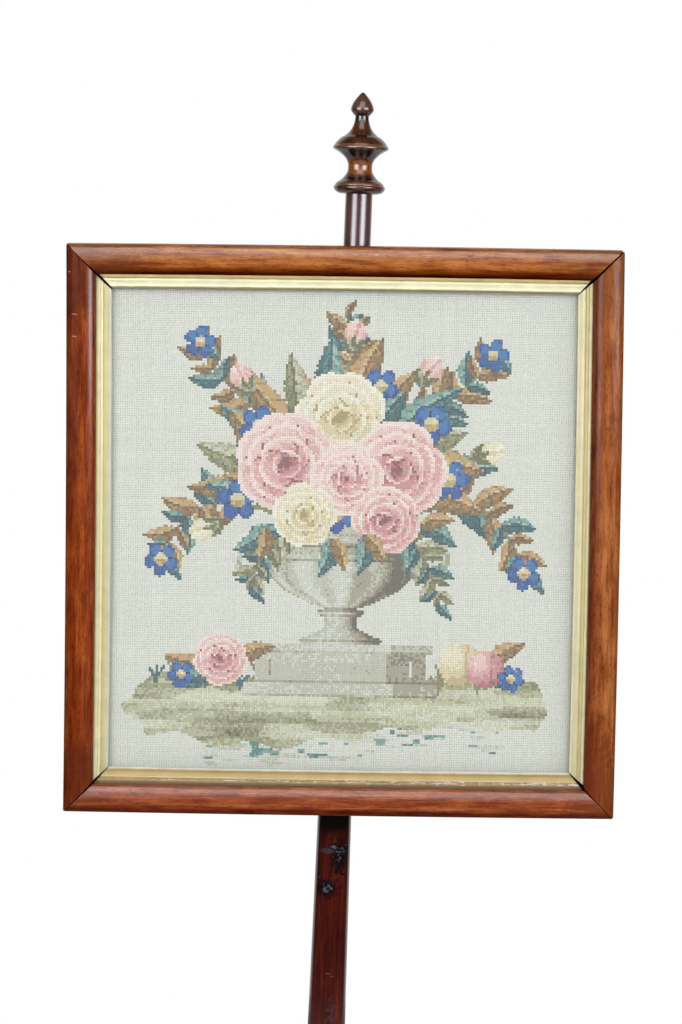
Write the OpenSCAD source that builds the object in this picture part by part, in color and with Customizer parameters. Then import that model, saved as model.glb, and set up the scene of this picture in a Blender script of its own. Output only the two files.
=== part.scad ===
// Pole screen: a framed needlework panel that slides on a turned pole above a tripod base.
// Millimetres, +Z up. The panel faces -Y, and the floor is at Z = 0.

/* [Pole] */
// Length of the pole from the column's top to the finial
pole_len = 972; // [800:1:1150]
// Diameter of the pole under the finial
pole_d_top = 23.2; // [20:0.2:28]
// Diameter of the pole on the column
pole_d_bottom = 37.8; // [32:0.2:42]
// How late the pole thickens on its way down, 1 for a straight taper
pole_flare = 1.45; // [1:0.05:2.2]
// Diameter of the tenon in the column
tenon_d = 24; // [18:0.5:28]
// Length of the tenon in the column
tenon_len = 70; // [40:1:100]

/* [Finial] */
// Radius of the lower ring
ring_r = 22.1; // [18:0.1:24]
// Radius of the upper rim
rim_r = 23.9; // [19:0.1:26]
// Radius of the waist between the ring and the rim
waist_r = 10.4; // [8:0.1:12]
// Radius of the neck under the bud
neck_r = 5.8; // [4:0.1:7]
// Radius of the bud
bud_r = 9.8; // [8:0.1:12]
// Radius at the top of the ring's sloping face
ring_step_r = 17.8; // [15:0.1:19]
// Radius at the top of the rim's sloping face
rim_step_r = 16.5; // [13:0.1:18]
// Height of the ring's rounded underside
ring_under_h = 5.4; // [4:0.1:7]
// Height of the ring's sloping face
ring_face_h = 5.6; // [4:0.1:9]
// Height of the cove from the ring to the waist
low_cove_h = 10; // [6:0.1:14]
// Height of the waist
waist_h = 3.5; // [2:0.1:12]
// Height of the cove from the waist to the rim
high_cove_h = 15; // [10:0.1:20]
// Height of the rim's sloping face
rim_face_h = 9; // [6:0.1:12]
// Height of the bell from the rim to the neck
bell_h = 17.2; // [12:0.1:24]
// Height of the bud
bud_h = 21.1; // [14:0.1:26]
// Width of the small steps turned beside the faces
fillet_step = 0.8; // [0.4:0.1:1.2]
// Diameter of the spigot in the pole
spigot_d = 10; // [6:0.5:13]
// Length of the spigot in the pole
spigot_len = 24; // [14:1:40]

/* [Column] */
// Height of the column's underside above the floor
column_z = 66; // [50:1:90]
// Radius of the block that holds the legs
block_r = 36; // [32:0.5:42]
// Height of the block that holds the legs
block_h = 92; // [80:1:110]
// Radius of the ring on the block
block_ring_r = 41; // [38:0.5:46]
// Height of the ring on the block
block_ring_h = 12; // [8:0.5:16]
// Height of the cove above the block
block_cove_h = 30; // [20:1:45]
// Radius of the vase at its fullest
vase_r = 33; // [27:0.5:40]
// Radius of the vase at its foot and neck
vase_neck_r = 20; // [18:0.5:24]
// Height of the vase
vase_h = 150; // [110:1:200]
// Radius of the rings above and below the vase
bead_r = 26.5; // [25:0.5:31]
// Height of the rings above and below the vase
bead_h = 9; // [6:0.5:13]
// Radius of the cup under the pole
cup_r = 26; // [24:0.5:32]
// Height of the cup under the pole
cup_h = 78; // [55:1:110]

/* [Legs] */
// Distance from the pole's axis to the middle of a foot
leg_reach = 208; // [180:1:240]
// Height of a leg where it meets the column
leg_h = 80; // [68:1:86]
// Width of a leg at the column
leg_w_top = 30; // [24:0.5:36]
// Width of a leg at the ankle
leg_w_ankle = 17; // [14:0.5:22]
// Height of a leg at the ankle
ankle_h = 17; // [13:0.5:22]
// Depth of the dovetail tongue in the column
dovetail_depth = 11; // [8:0.5:13]
// Width of the dovetail tongue at its root
dovetail_w = 10; // [8:0.5:14]
// Spread of the dovetail tongue on each side
dovetail_spread = 2.5; // [1:0.25:4]
// Radius of a pad foot
foot_r = 22; // [18:0.5:28]
// Height of a pad foot
foot_h = 15; // [12:0.5:18]
// Radius of the flat that a pad foot rests on
foot_flat_r = 15; // [10:0.5:17]
// Thickness of the iron plate under the column
spider_t = 3; // [2:0.25:5]
// Width of the iron straps under the legs
spider_w = 18; // [14:0.5:22]
// Radius of the iron plate's middle
spider_r = 30; // [26:0.5:33]

/* [Panel frame] */
// Width of the panel over the frame
panel_w = 470; // [380:1:520]
// Height of the panel over the frame
panel_h = 484; // [400:1:540]
// Distance from the finial's underside to the top of the panel
panel_drop = 45; // [42:1:120]
// Width of a frame rail
rail_w = 26; // [22:0.5:32]
// Height of the rail's half-round front
rail_rise = 10; // [7:0.25:11]
// How square the half-round's shoulders are, 2 for an ellipse
rail_fullness = 2.5; // [2:0.1:3]
// Depth of a frame rail, front to back
frame_depth = 34; // [33:0.5:42]
// Thickness of the lip in front of the slip
lip_t = 2; // [1.5:0.25:4]
// Width of the rebate behind the lip
rebate_w = 7; // [5:0.25:9]
// Opening of a frame mitre at its sight edge, from old shrinkage
mitre_open = 2.4; // [0.4:0.1:3]
// Opening of a frame mitre at its outer corner
mitre_heel = 0.8; // [0.2:0.1:2]
// Opening of a slip's mitre at its sight edge
slip_open = 0.8; // [0.2:0.1:2]
// Opening of a slip's mitre at its hidden edge
slip_heel = 2.8; // [0.2:0.1:3.5]
// Distance from the pole's axis to the frame's back
back_gap = 28; // [27:0.5:40]
// How far the panel hangs out of true on its brackets, in degrees, top to the left
panel_lean = 1.48; // [0:0.02:1.8]
// How far the panel's middle is to the left of the pole
panel_shift = 3.3; // [0:0.1:6]

/* [Slip, glass and needlework] */
// Width of the gilt slip that shows inside the frame
slip_sight = 12; // [9:0.25:16]
// Thickness of the slip
slip_t = 5; // [4.5:0.25:6]
// Fall of the slip's face towards its sight edge
slip_fall = 2.6; // [1.5:0.1:3.2]
// Width of the slip's outer fillet
slip_fillet_w = 2; // [1:0.1:3]
// Width of the bead on the slip
slip_bead_w = 2.6; // [1.6:0.1:3.4]
// Width of the flat along the slip's sight edge
slip_edge_w = 1.7; // [1:0.1:2.5]
// Thickness of the glass
glass_t = 2; // [1.5:0.1:3]
// Thickness of the worked canvas
canvas_t = 1.2; // [0.8:0.1:1.6]
// Width of a strainer bar
strainer_w = 32; // [24:0.5:45]
// Thickness of a strainer bar
strainer_t = 7.5; // [6:0.25:9]
// Thickness of the backboard
board_t = 2.8; // [2:0.1:4]

/* [Clamp] */
// Width of a bracket's plate
plate_w = 58; // [48:1:80]
// Height of a bracket's plate
plate_h = 15; // [13:0.5:17]
// Thickness of a bracket's plate
plate_t = 2.6; // [2:0.1:4]
// Height of a bracket's collar
collar_h = 14; // [12:0.5:15]
// Wall of a bracket's collar
collar_wall = 4; // [3:0.25:5]
// Width of the arm between plate and collar
arm_w = 16; // [12:0.5:22]
// How far the panel slides down from where it is shown
slide_down = 200; // [120:5:230]
// Room for the spring between the upper collar and the pole at the bottom of the slide
spring_room = 1.3; // [1.1:0.05:2]
// Thickness of the leaf spring
leaf_t = 0.5; // [0.4:0.05:0.7]
// Width of the leaf spring
leaf_w = 8; // [6:0.25:10]
// Length of the spring's hooks over the collar
leaf_hook = 4; // [3:0.25:6]
// Radius of the pressure pad
pad_r = 4; // [3.5:0.1:5]
// Thickness of the pressure pad
pad_t = 1; // [0.9:0.05:1.5]
// Radius of the thumbscrew's shank
screw_r = 3; // [2.5:0.1:3.2]
// How far the thumbscrew backs out
screw_travel = 2.5; // [1:0.1:3]
// Radius of the boss that the thumbscrew runs in
boss_r = 7; // [6:0.1:8]
// Length of the boss beyond the collar
boss_len = 9; // [6:0.5:14]
// Span of the thumbscrew's wings
wing_span = 26; // [20:0.5:34]
// Width of the thumbscrew's wings along the screw
wing_w = 13; // [9:0.5:17]
// Thickness of the thumbscrew's wings
wing_t = 3.6; // [2.5:0.1:5]

/* [Fasteners] */
// Shank radius of the wood screws
wood_screw_r = 1.6; // [1.2:0.1:2]
// Head radius of the wood screws
wood_screw_head_r = 3.2; // [2.6:0.1:3.8]
// Length of the wood screws
wood_screw_len = 15; // [10:0.5:18]
// Radius of the brads behind the backboard
brad_r = 0.6; // [0.5:0.05:0.9]
// Length of the brads behind the backboard
brad_len = 14; // [10:0.5:18]
// Brads on each side of the backboard
brads_per_side = 3; // [2:1:5]
// Radius of the nails across the mitres
nail_r = 0.9; // [0.6:0.05:1.3]
// Length of the nails across the mitres
nail_len = 44; // [36:1:55]
// Head radius of the canvas tacks
tack_head_r = 2.4; // [1.8:0.1:3]
// Head thickness of the canvas tacks
tack_head_t = 0.6; // [0.4:0.05:0.8]
// Length of the canvas tacks
tack_len = 8; // [6:0.5:12]
// Tacks on each side of the canvas
tacks_per_side = 5; // [3:1:9]

/* [Clearances] */
// Running clearance on the radius of turning and sliding fits
run_clear = 0.05; // [0.02:0.01:0.1]
// Clearance between wooden parts that are let into each other
wood_clear = 0.1; // [0.05:0.05:0.3]
// Clearance around fasteners in their holes
hole_clear = 0.04; // [0.02:0.01:0.1]
// Gap between moving faces
face_gap = 0.3; // [0.2:0.05:0.4]
// Gap between the layers in the frame
layer_gap = 0.2; // [0.1:0.05:0.3]
// Gap between the spring and the pole, and the pad and the spring
spring_gap = 0.3; // [0.2:0.05:0.4]
// Gap around the slip, glass and backboard in the rebate
rebate_gap = 0.5; // [0.3:0.05:1]
// Gap around the wrapped canvas in the rebate
canvas_gap = 1.3; // [1:0.05:2]

/* [Hidden] */

mahogany = "#7a3b20";
dark_mahogany = "#4a1b12";
pine = "#b58a55";
gilt = "#d8c890";
brass = "#b08d3f";
iron = "#3a3836";

$fn = 96;
eps = 0.01;
over = 1;
curve_steps = 8;

// Outlines: quadratic and cubic curves between points

function bend(a, b, c, n = curve_steps) =
    [for (i = [0:n]) let (t = i / n) (1 - t) * (1 - t) * a + 2 * t * (1 - t) * b + t * t * c];
function sway(p, t) =
    pow(1 - t, 3) * p[0] + 3 * t * pow(1 - t, 2) * p[1] + 3 * t * t * (1 - t) * p[2] + pow(t, 3) * p[3];
function bulge(r, z0, z1, depth, n = curve_steps) =
    [for (i = [0:n]) let (a = -90 + 180 * i / n)
        [r - depth + depth * cos(a), (z0 + z1) / 2 + (z1 - z0) / 2 * sin(a)]];

// Heights along the stand

block_top = column_z + block_h;
cove_z = block_top + block_ring_h;
low_bead_z = cove_z + block_cove_h;
vase_z = low_bead_z + bead_h;
high_bead_z = vase_z + vase_h;
cup_z = high_bead_z + bead_h;
column_top = cup_z + cup_h;
pole_top = column_top + pole_len;
function pole_r(z) =
    (pole_d_top + (pole_d_bottom - pole_d_top) * pow((pole_top - z) / pole_len, pole_flare)) / 2;

// The legs stand at 120 degrees, one of them to the front, and the footprint is centred on the origin

leg_turns = [-90, 30, 150];
back_share = sin(30);
pole_y = leg_reach * (1 - back_share) / 2;
module at_pole() { translate([0, pole_y, 0]) children(); }

// Panel: local X runs to the right, Y from the front of the frame to its back, Z up from the panel's middle

panel_top = pole_top - panel_drop;
panel_z = panel_top - panel_h / 2;
panel_back = pole_y - back_gap;
panel_place = [-panel_shift, panel_back - frame_depth, panel_z];
module at_panel() { translate(panel_place) rotate([0, -panel_lean, 0]) children(); }
module from_pole() { rotate([0, panel_lean, 0]) translate([0, pole_y, 0] - panel_place) children(); }

// Sides 0 to 3 are bottom, left, top and right, each drawn as the bottom one with X along it and Z inwards

function side_len(i) = i % 2 == 0 ? panel_w : panel_h;
function side_off(i) = (i % 2 == 0 ? panel_h : panel_w) / 2;
module on_side(i) { rotate([0, 90 * i, 0]) children(); }

// A moulding along one side: its outline has X inwards from its outer edge and Y to the back

module moulding(i, inset, width, depth, outer_gap, inner_gap) {
    length = side_len(i) - 2 * inset;
    outer_cut = outer_gap / sqrt(2);
    inner_cut = width + inner_gap / sqrt(2);
    on_side(i) translate([0, 0, inset - side_off(i)]) intersection() {
        rotate([0, -90, 0]) linear_extrude(length, center = true) children();
        translate([0, depth + over, 0]) rotate([90, 0, 0]) linear_extrude(depth + 2 * over)
            polygon([
                [-length / 2 + outer_cut, 0], [length / 2 - outer_cut, 0],
                [length / 2 - inner_cut, width], [-length / 2 + inner_cut, width]
            ]);
    }
}

// Depths of the layers behind the frame's front

slip_y = rail_rise + lip_t;
glass_y = slip_y + slip_t + layer_gap;
canvas_y = glass_y + glass_t + layer_gap;
strainer_y = canvas_y + canvas_t + layer_gap;
board_y = strainer_y + strainer_t + layer_gap;
brad_y = board_y + board_t + brad_r + run_clear;

rebate_inset = rail_w - rebate_w;
slip_inset = rebate_inset + rebate_gap;
slip_w = rebate_w - rebate_gap + slip_sight;
canvas_inset = rebate_inset + canvas_gap;
strainer_inset = canvas_inset + canvas_t + layer_gap;

// Finial

finial_overhang = 0.7;
finial_seat_r = pole_r(pole_top) + finial_overhang;
ring_edge_z = ring_under_h;
ring_step_z = ring_edge_z + ring_face_h;
waist_z = ring_step_z + low_cove_h;
high_cove_z = waist_z + waist_h;
rim_edge_z = high_cove_z + high_cove_h;
rim_step_z = rim_edge_z + rim_face_h;
bud_z = rim_step_z + bell_h;
bud_wide_z = bud_z + 0.3 * bud_h;
finial_h = bud_z + bud_h;
edge_round = 1.2;
tip_r = 1.5;

function turned_edge(r, z) = bend([r - edge_round / 3, z - edge_round], [r + edge_round / 3, z],
    [r - edge_round / 2, z + 1.2 * edge_round]);
function turned_face(r, z, step_r, step_z) = bend([r - edge_round, z + 1.6 * edge_round],
    [(r + step_r) / 2 + edge_round, (z + step_z) / 2 + edge_round / 3], [step_r, step_z]);

finial_outline = concat(
    [[0, 0], [finial_seat_r, 0]],
    bend([finial_seat_r + fillet_step, 0], [ring_r - 2 * edge_round, 0],
        [ring_r - edge_round / 2, ring_edge_z - 1.5 * edge_round]),
    turned_edge(ring_r, ring_edge_z),
    turned_face(ring_r, ring_edge_z, ring_step_r, ring_step_z),
    bend([ring_step_r - fillet_step, ring_step_z + fillet_step / 3],
        [waist_r + fillet_step, ring_step_z + low_cove_h / 2], [waist_r, waist_z]),
    bend([waist_r, high_cove_z], [waist_r + fillet_step, high_cove_z + high_cove_h / 2],
        [rim_r - edge_round, rim_edge_z - 1.5 * edge_round]),
    turned_edge(rim_r, rim_edge_z),
    turned_face(rim_r, rim_edge_z, rim_step_r, rim_step_z),
    bend([rim_step_r - fillet_step, rim_step_z + fillet_step / 3],
        [neck_r + edge_round, rim_step_z + 0.3 * bell_h], [neck_r, bud_z - fillet_step]),
    bend([neck_r, bud_z + fillet_step], [bud_r + fillet_step / 3, bud_z + 0.215 * bud_h], [bud_r, bud_wide_z]),
    bend([bud_r - eps, bud_wide_z + eps], [bud_r - fillet_step / 3, bud_z + 0.58 * bud_h],
        [tip_r, finial_h - fillet_step]),
    [[0, finial_h]]
);

module finial() {
    color(dark_mahogany) translate([0, 0, pole_top + run_clear]) {
        rotate_extrude() polygon(finial_outline);
        translate([0, 0, -spigot_len]) cylinder(d = spigot_d, h = spigot_len + eps);
    }
}

// Pole

pole_steps = 24;
pole_outline = concat(
    [[0, 0]],
    [for (i = [0:pole_steps]) let (z = pole_len * i / pole_steps) [pole_r(column_top + z), z]],
    [[0, pole_len]]
);

module pole() {
    color(dark_mahogany) difference() {
        translate([0, 0, column_top + run_clear]) {
            rotate_extrude() polygon(pole_outline);
            translate([0, 0, -tenon_len]) cylinder(d = tenon_d, h = tenon_len + eps);
        }
        translate([0, 0, pole_top - spigot_len - face_gap])
            cylinder(d = spigot_d + 2 * run_clear, h = spigot_len + pole_len);
    }
}

// Column

column_outline = concat(
    [[0, column_z], [block_r, column_z], [block_r, block_top]],
    bulge(block_ring_r, block_top, cove_z, block_ring_h / 2),
    bend([block_r - fillet_step, cove_z], [vase_neck_r, cove_z + block_cove_h / 4],
        [vase_neck_r, low_bead_z]),
    bulge(bead_r, low_bead_z, vase_z, bead_h / 2),
    [for (i = [0:2 * curve_steps]) let (t = i / (2 * curve_steps))
        [vase_neck_r + (vase_r - vase_neck_r) * pow(sin(180 * pow(t, 0.75)), 1.5), vase_z + vase_h * t]],
    bulge(bead_r, high_bead_z, cup_z, bead_h / 2),
    bend([vase_neck_r, cup_z], [vase_neck_r - fillet_step, cup_z + cup_h / 2],
        [cup_r - 2 * fillet_step, column_top - bead_h]),
    bulge(cup_r, column_top - bead_h, column_top - fillet_step, bead_h / 2),
    [[cup_r - bead_h / 2, column_top], [0, column_top]]
);

module column() {
    color(mahogany) difference() {
        rotate_extrude() polygon(column_outline);
        translate([0, 0, column_top - tenon_len - face_gap])
            cylinder(d = tenon_d + 2 * run_clear, h = tenon_len + cup_h);
        for (turn = leg_turns) rotate([0, 0, turn]) dovetail(wood_clear);
        for (k = [0:2]) rotate([0, 0, leg_turns[k] + 60]) column_screw(hole_clear);
    }
}

// Legs: each runs along +X before it is turned to its place

tongue_shoulder = 4;
tongue_out = 2;
leg_tongue_top = column_z + leg_h - tongue_shoulder;
leg_tongue_low = column_z + tongue_shoulder;
module dovetail(clear) {
    root = block_r - dovetail_depth;
    low = clear > 0 ? column_z - over : leg_tongue_low;
    translate([0, 0, low]) linear_extrude(leg_tongue_top + clear - low)
            polygon([
                [root - clear, dovetail_w / 2 + dovetail_spread + clear],
                [block_r + tongue_out, dovetail_w / 2 + clear],
                [block_r + tongue_out, -dovetail_w / 2 - clear],
                [root - clear, -dovetail_w / 2 - dovetail_spread - clear]
            ]);
}

leg_root_in = 6;
leg_tip_back = 2;
knee_rise = 22;
arch_rise = 44;
leg_upper = [
    [block_r - leg_root_in, column_z + leg_h], [0.52 * leg_reach, column_z + leg_h + knee_rise],
    [0.64 * leg_reach, foot_h + ankle_h / 2], [leg_reach - leg_tip_back, foot_h + ankle_h / 2]
];
leg_lower = [
    [block_r - leg_root_in, column_z], [0.53 * leg_reach, column_z + arch_rise],
    [0.6 * leg_reach, foot_h - ankle_h * 0.7], [leg_reach - leg_tip_back, foot_h - ankle_h / 2]
];
function leg_half_w(t) = (leg_w_ankle + (leg_w_top - leg_w_ankle) * pow(1 - t, 1.3)) / 2;
leg_rings = 22;
leg_sides = 16;
leg_square = 0.75;
function soft_sign(v) = sign(v) * pow(abs(v), leg_square);
leg_points = [
    for (i = [0:leg_rings]) let (t = i / leg_rings, top = sway(leg_upper, t), low = sway(leg_lower, t))
        for (k = [0:leg_sides - 1]) let (
            a = 360 * k / leg_sides,
            mid = (top + low) / 2,
            up = (top - low) / 2 * soft_sign(sin(a))
        ) [mid[0] + up[0], leg_half_w(t) * soft_sign(cos(a)), mid[1] + up[1]]
];
function ring_quad(i, k) = let (a = i * leg_sides + k, b = i * leg_sides + (k + 1) % leg_sides)
    [[a, b + leg_sides, b], [a, a + leg_sides, b + leg_sides]];
leg_faces = concat(
    [for (i = [0:leg_rings - 1]) for (k = [0:leg_sides - 1]) for (f = ring_quad(i, k)) f],
    [[for (k = [0:leg_sides - 1]) k]],
    [[for (k = [leg_sides - 1:-1:0]) leg_rings * leg_sides + k]]
);

foot_round = 1;
foot_outline = concat(
    [[0, 0], [foot_flat_r, 0]],
    bend([foot_flat_r, 0], [foot_r + foot_round, 0], [foot_r, foot_h / 2]),
    bend([foot_r, foot_h / 2], [foot_r, foot_h], [foot_r / 2, foot_h + foot_round]),
    [[0, foot_h + foot_round]]
);

module leg(turn) {
    color(mahogany) rotate([0, 0, turn]) difference() {
        union() {
            difference() {
                polyhedron(leg_points, leg_faces);
                cylinder(r = block_r + wood_clear, h = column_z + 2 * leg_h);
            }
            translate([leg_reach, 0, 0]) rotate_extrude() polygon(foot_outline);
            dovetail(0);
        }
        leg_screw(hole_clear);
    }
}

// Iron plate under the column, with a strap under each leg

strap_start_share = 0.035;
strap_end_share = 0.3;
strap_steps = 8;
leg_screw_share = 0.18;
strap_gap = 2 * wood_clear;
strap_line = [for (i = [0:strap_steps])
    sway(leg_lower, strap_start_share + (strap_end_share - strap_start_share) * i / strap_steps)
        - [0, strap_gap]];
spider_z = column_z - wood_clear - spider_t;
strap_foot = strap_line[0][0];
strap_outline = concat(
    [[strap_foot, spider_z]],
    strap_line,
    [for (i = [strap_steps:-1:1]) strap_line[i] - [0, spider_t]],
    [[strap_foot + spider_t, spider_z]]
);
leg_screw_at = sway(leg_lower, leg_screw_share);
leg_screw_run = sway(leg_lower, leg_screw_share + eps) - sway(leg_lower, leg_screw_share - eps);
leg_screw_slope = atan2(leg_screw_run[1], leg_screw_run[0]);

module spider_plate() {
    color(iron) difference() {
        union() {
            translate([0, 0, spider_z]) cylinder(r = spider_r, h = spider_t);
            for (turn = leg_turns) rotate([0, 0, turn]) {
                translate([0, spider_w / 2, 0]) rotate([90, 0, 0])
                    linear_extrude(spider_w) polygon(strap_outline);
                translate([0, -spider_w / 2, spider_z]) cube([strap_foot + eps, spider_w, spider_t]);
            }
        }
        for (k = [0:2]) rotate([0, 0, leg_turns[k] + 60]) column_screw(hole_clear);
        for (turn = leg_turns) rotate([0, 0, turn]) leg_screw(hole_clear);
    }
}

// Wood screw along +Z with its head below the surface at Z = 0

module wood_screw(clear, seat) {
    cylinder(r = wood_screw_r + clear, h = wood_screw_len + clear);
    translate([0, 0, -seat - eps]) cylinder(r = wood_screw_r + clear, h = seat + 2 * eps);
    if (clear == 0) translate([0, 0, -seat - wood_screw_r]) cylinder(r = wood_screw_head_r, h = wood_screw_r);
}
module column_screw(clear) {
    translate([spider_r - 2 * wood_screw_head_r, 0, column_z])
        wood_screw(clear, spider_t + wood_clear + run_clear);
}
module leg_screw(clear) {
    translate([leg_screw_at[0], 0, leg_screw_at[1]]) rotate([0, -leg_screw_slope, 0])
        wood_screw(clear, (spider_t + strap_gap) * cos(leg_screw_slope) + wood_clear + run_clear);
}
module spider_screws() {
    color(iron) for (k = [0:2]) {
        rotate([0, 0, leg_turns[k] + 60]) column_screw(0);
        rotate([0, 0, leg_turns[k]]) leg_screw(0);
    }
}

// Frame

round_steps = 32;
function round_y(q) = rail_rise * (1 - pow(1 - pow(abs(q), rail_fullness), 1 / rail_fullness));
module rail_outline() {
    difference() {
        polygon(concat(
            [for (k = [0:round_steps]) let (q = sin(180 * k / round_steps - 90))
                [rail_w / 2 * (1 + q), round_y(q)]],
            [[rail_w, frame_depth], [0, frame_depth]]
        ));
        translate([rebate_inset, slip_y]) square([rail_w, frame_depth]);
    }
}
module rail(i) {
    color(mahogany) difference() {
        moulding(i, 0, rail_w, frame_depth, mitre_heel, mitre_open) rail_outline();
        mitre_nails(hole_clear);
        backboard_brads(hole_clear);
        if (i % 2 == 0) from_pole() bracket_screws(hole_clear);
    }
}

nail_set = 1;
nail_y = (slip_y + frame_depth) / 2;
module mitre_nails(clear) {
    color(iron) for (i = [0:3]) on_side(i)
        translate([side_len(i) / 2 - nail_len - nail_set, nail_y, rebate_inset / 2 - side_off(i)])
            rotate([0, 90, 0]) cylinder(r = nail_r + clear, h = nail_len + clear, $fn = 32);
}

module backboard_brads(clear) {
    color(iron) for (i = [0:3]) on_side(i) for (k = [0:brads_per_side - 1])
        translate([
            (k - (brads_per_side - 1) / 2) * side_len(i) / (brads_per_side + 0.5), brad_y,
            rebate_inset - side_off(i) - brad_len / 2 - clear
        ]) cylinder(r = brad_r + clear, h = brad_len + clear, $fn = 32);
}

// Gilt slip: fillet, bead, hollow and a flat along the sight edge

slip_groove = 0.6;
slip_hidden = slip_w - slip_sight;
slip_bead_u = slip_hidden + slip_fillet_w + slip_groove;
slip_hollow_u = slip_bead_u + slip_bead_w;
slip_edge_u = slip_w - slip_edge_w;
slip_outline = concat(
    [[0, slip_t], [0, 0], [slip_hidden + slip_fillet_w, 0], [slip_hidden + slip_fillet_w, slip_groove]],
    [for (k = [0:curve_steps]) let (a = 180 * k / curve_steps)
        [slip_bead_u + slip_bead_w / 2 * (1 - cos(a)), slip_groove - slip_groove * sin(a)]],
    bend([slip_hollow_u, slip_groove + eps], [slip_hollow_u + slip_edge_w, slip_fall],
        [slip_edge_u, slip_fall]),
    [[slip_w, slip_fall], [slip_w, slip_t]]
);
module slip(i) {
    color(gilt) translate([0, slip_y, 0])
        moulding(i, slip_inset, slip_w, slip_t, slip_heel, slip_open) polygon(slip_outline);
}

// Glass, worked canvas, strainer and backboard

module layer(inset, y, t) {
    w = panel_w - 2 * inset;
    h = panel_h - 2 * inset;
    translate([-w / 2, y, -h / 2]) cube([w, t, h]);
}
module glass() { color("lightcyan", 0.3) layer(slip_inset, glass_y, glass_t); }

module needlework() {
    color("#d4d7ce") difference() {
        layer(canvas_inset, canvas_y, canvas_t + layer_gap + strainer_t);
        layer(canvas_inset + canvas_t, canvas_y + canvas_t, 2 * strainer_t);
        canvas_tacks(hole_clear);
    }
}

module strainer(i) {
    color(pine) difference() {
        moulding(i, strainer_inset, strainer_w, strainer_y + strainer_t, 2 * hole_clear, 2 * hole_clear)
            translate([0, strainer_y]) square([strainer_w, strainer_t]);
        canvas_tacks(hole_clear);
    }
}

module canvas_tacks(clear) {
    color(iron) for (i = [0:3]) on_side(i) for (k = [0:tacks_per_side - 1])
        translate([
            (k - (tacks_per_side - 1) / 2) * side_len(i) / (tacks_per_side + 0.8),
            strainer_y + strainer_t / 2, canvas_inset - side_off(i)
        ]) {
            translate([0, 0, -run_clear]) cylinder(r = brad_r + clear, h = tack_len + clear, $fn = 32);
            if (clear == 0) translate([0, 0, -run_clear - tack_head_t])
                cylinder(r = tack_head_r, h = tack_head_t + eps, $fn = 32);
        }
}

module backboard() { color(pine) layer(slip_inset, board_y, board_t); }

// Brackets on the frame's back, each with a collar around the pole

bracket_inset = rebate_inset / 2;
upper_z = panel_top - bracket_inset;
lower_z = panel_top - panel_h + bracket_inset;
upper_bore_r = pole_r(upper_z - collar_h / 2 - slide_down) + spring_room;
lower_bore_r = pole_r(lower_z - collar_h / 2 - slide_down) + face_gap;

module plate_screws(clear) {
    for (s = [-1, 1]) translate([s * (plate_w / 2 - 2 * wood_screw_head_r), 0, 0])
        rotate([90, 0, 0]) wood_screw(clear, plate_t + run_clear);
}

module bracket(bore_r) {
    difference() {
        union() {
            translate([-plate_w / 2, -back_gap, -plate_h / 2]) cube([plate_w, plate_t, plate_h]);
            translate([-arm_w / 2, -back_gap + plate_t - eps, -collar_h / 2])
                cube([arm_w, back_gap - plate_t - bore_r, collar_h]);
            translate([0, 0, -collar_h / 2]) cylinder(r = bore_r + collar_wall, h = collar_h);
            children();
        }
        translate([0, 0, -collar_h]) cylinder(r = bore_r, h = 2 * collar_h);
        translate([0, -back_gap, 0]) plate_screws(hole_clear);
    }
}

// Upper bracket: the thumbscrew's pad presses the leaf spring against the back of the pole

leaf_front = pole_r(upper_z - collar_h / 2) + spring_gap;
pad_y = leaf_front + leaf_t + spring_gap;
screw_y = pad_y + pad_t + run_clear;
boss_end = upper_bore_r + collar_wall + boss_len;
module along_y(y0, y1, r) { translate([0, y0, 0]) rotate([-90, 0, 0]) cylinder(r = r, h = y1 - y0); }

module upper_bracket() {
    color(brass) translate([0, 0, upper_z]) difference() {
        bracket(upper_bore_r) along_y(upper_bore_r + eps, boss_end, boss_r);
        along_y(leaf_front, screw_y + screw_travel + face_gap, pad_r + face_gap);
        along_y(leaf_front, boss_end + over, screw_r + run_clear);
    }
}
module lower_bracket() { color(brass) translate([0, 0, lower_z]) bracket(lower_bore_r); }

module bracket_screws(clear) {
    color(brass) for (z = [upper_z, lower_z]) translate([0, -back_gap, z]) plate_screws(clear);
}

leaf_seat = sqrt(pow(upper_bore_r, 2) - pow(leaf_w / 2, 2)) - run_clear;
leaf_end_z = collar_h / 2 + run_clear;
leaf_bow_z = leaf_end_z + leaf_t / 2;
leaf_bow = bend([leaf_seat - leaf_t, -leaf_bow_z], [2 * leaf_front - leaf_seat + leaf_t, 0],
    [leaf_seat - leaf_t, leaf_bow_z]);
leaf_outline = concat(leaf_bow, [for (i = [len(leaf_bow) - 1:-1:0]) leaf_bow[i] + [leaf_t, 0]]);
module leaf_spring() {
    color(brass) translate([0, 0, upper_z]) rotate([90, 0, 90]) union() {
        linear_extrude(leaf_w, center = true) polygon(leaf_outline);
        for (z = [leaf_end_z, -leaf_end_z - leaf_t])
            translate([leaf_seat - 1.25 * leaf_t, z, -leaf_w / 2]) cube([leaf_hook, leaf_t, leaf_w]);
    }
}

pin_r = screw_r / 2;
pin_len = pad_t * 0.6;
module pressure_pad() {
    color(brass) translate([0, 0, upper_z]) difference() {
        along_y(pad_y, pad_y + pad_t, pad_r);
        along_y(pad_y + pad_t - pin_len - run_clear, pad_y + 2 * pad_t, pin_r + run_clear);
    }
}

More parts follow.
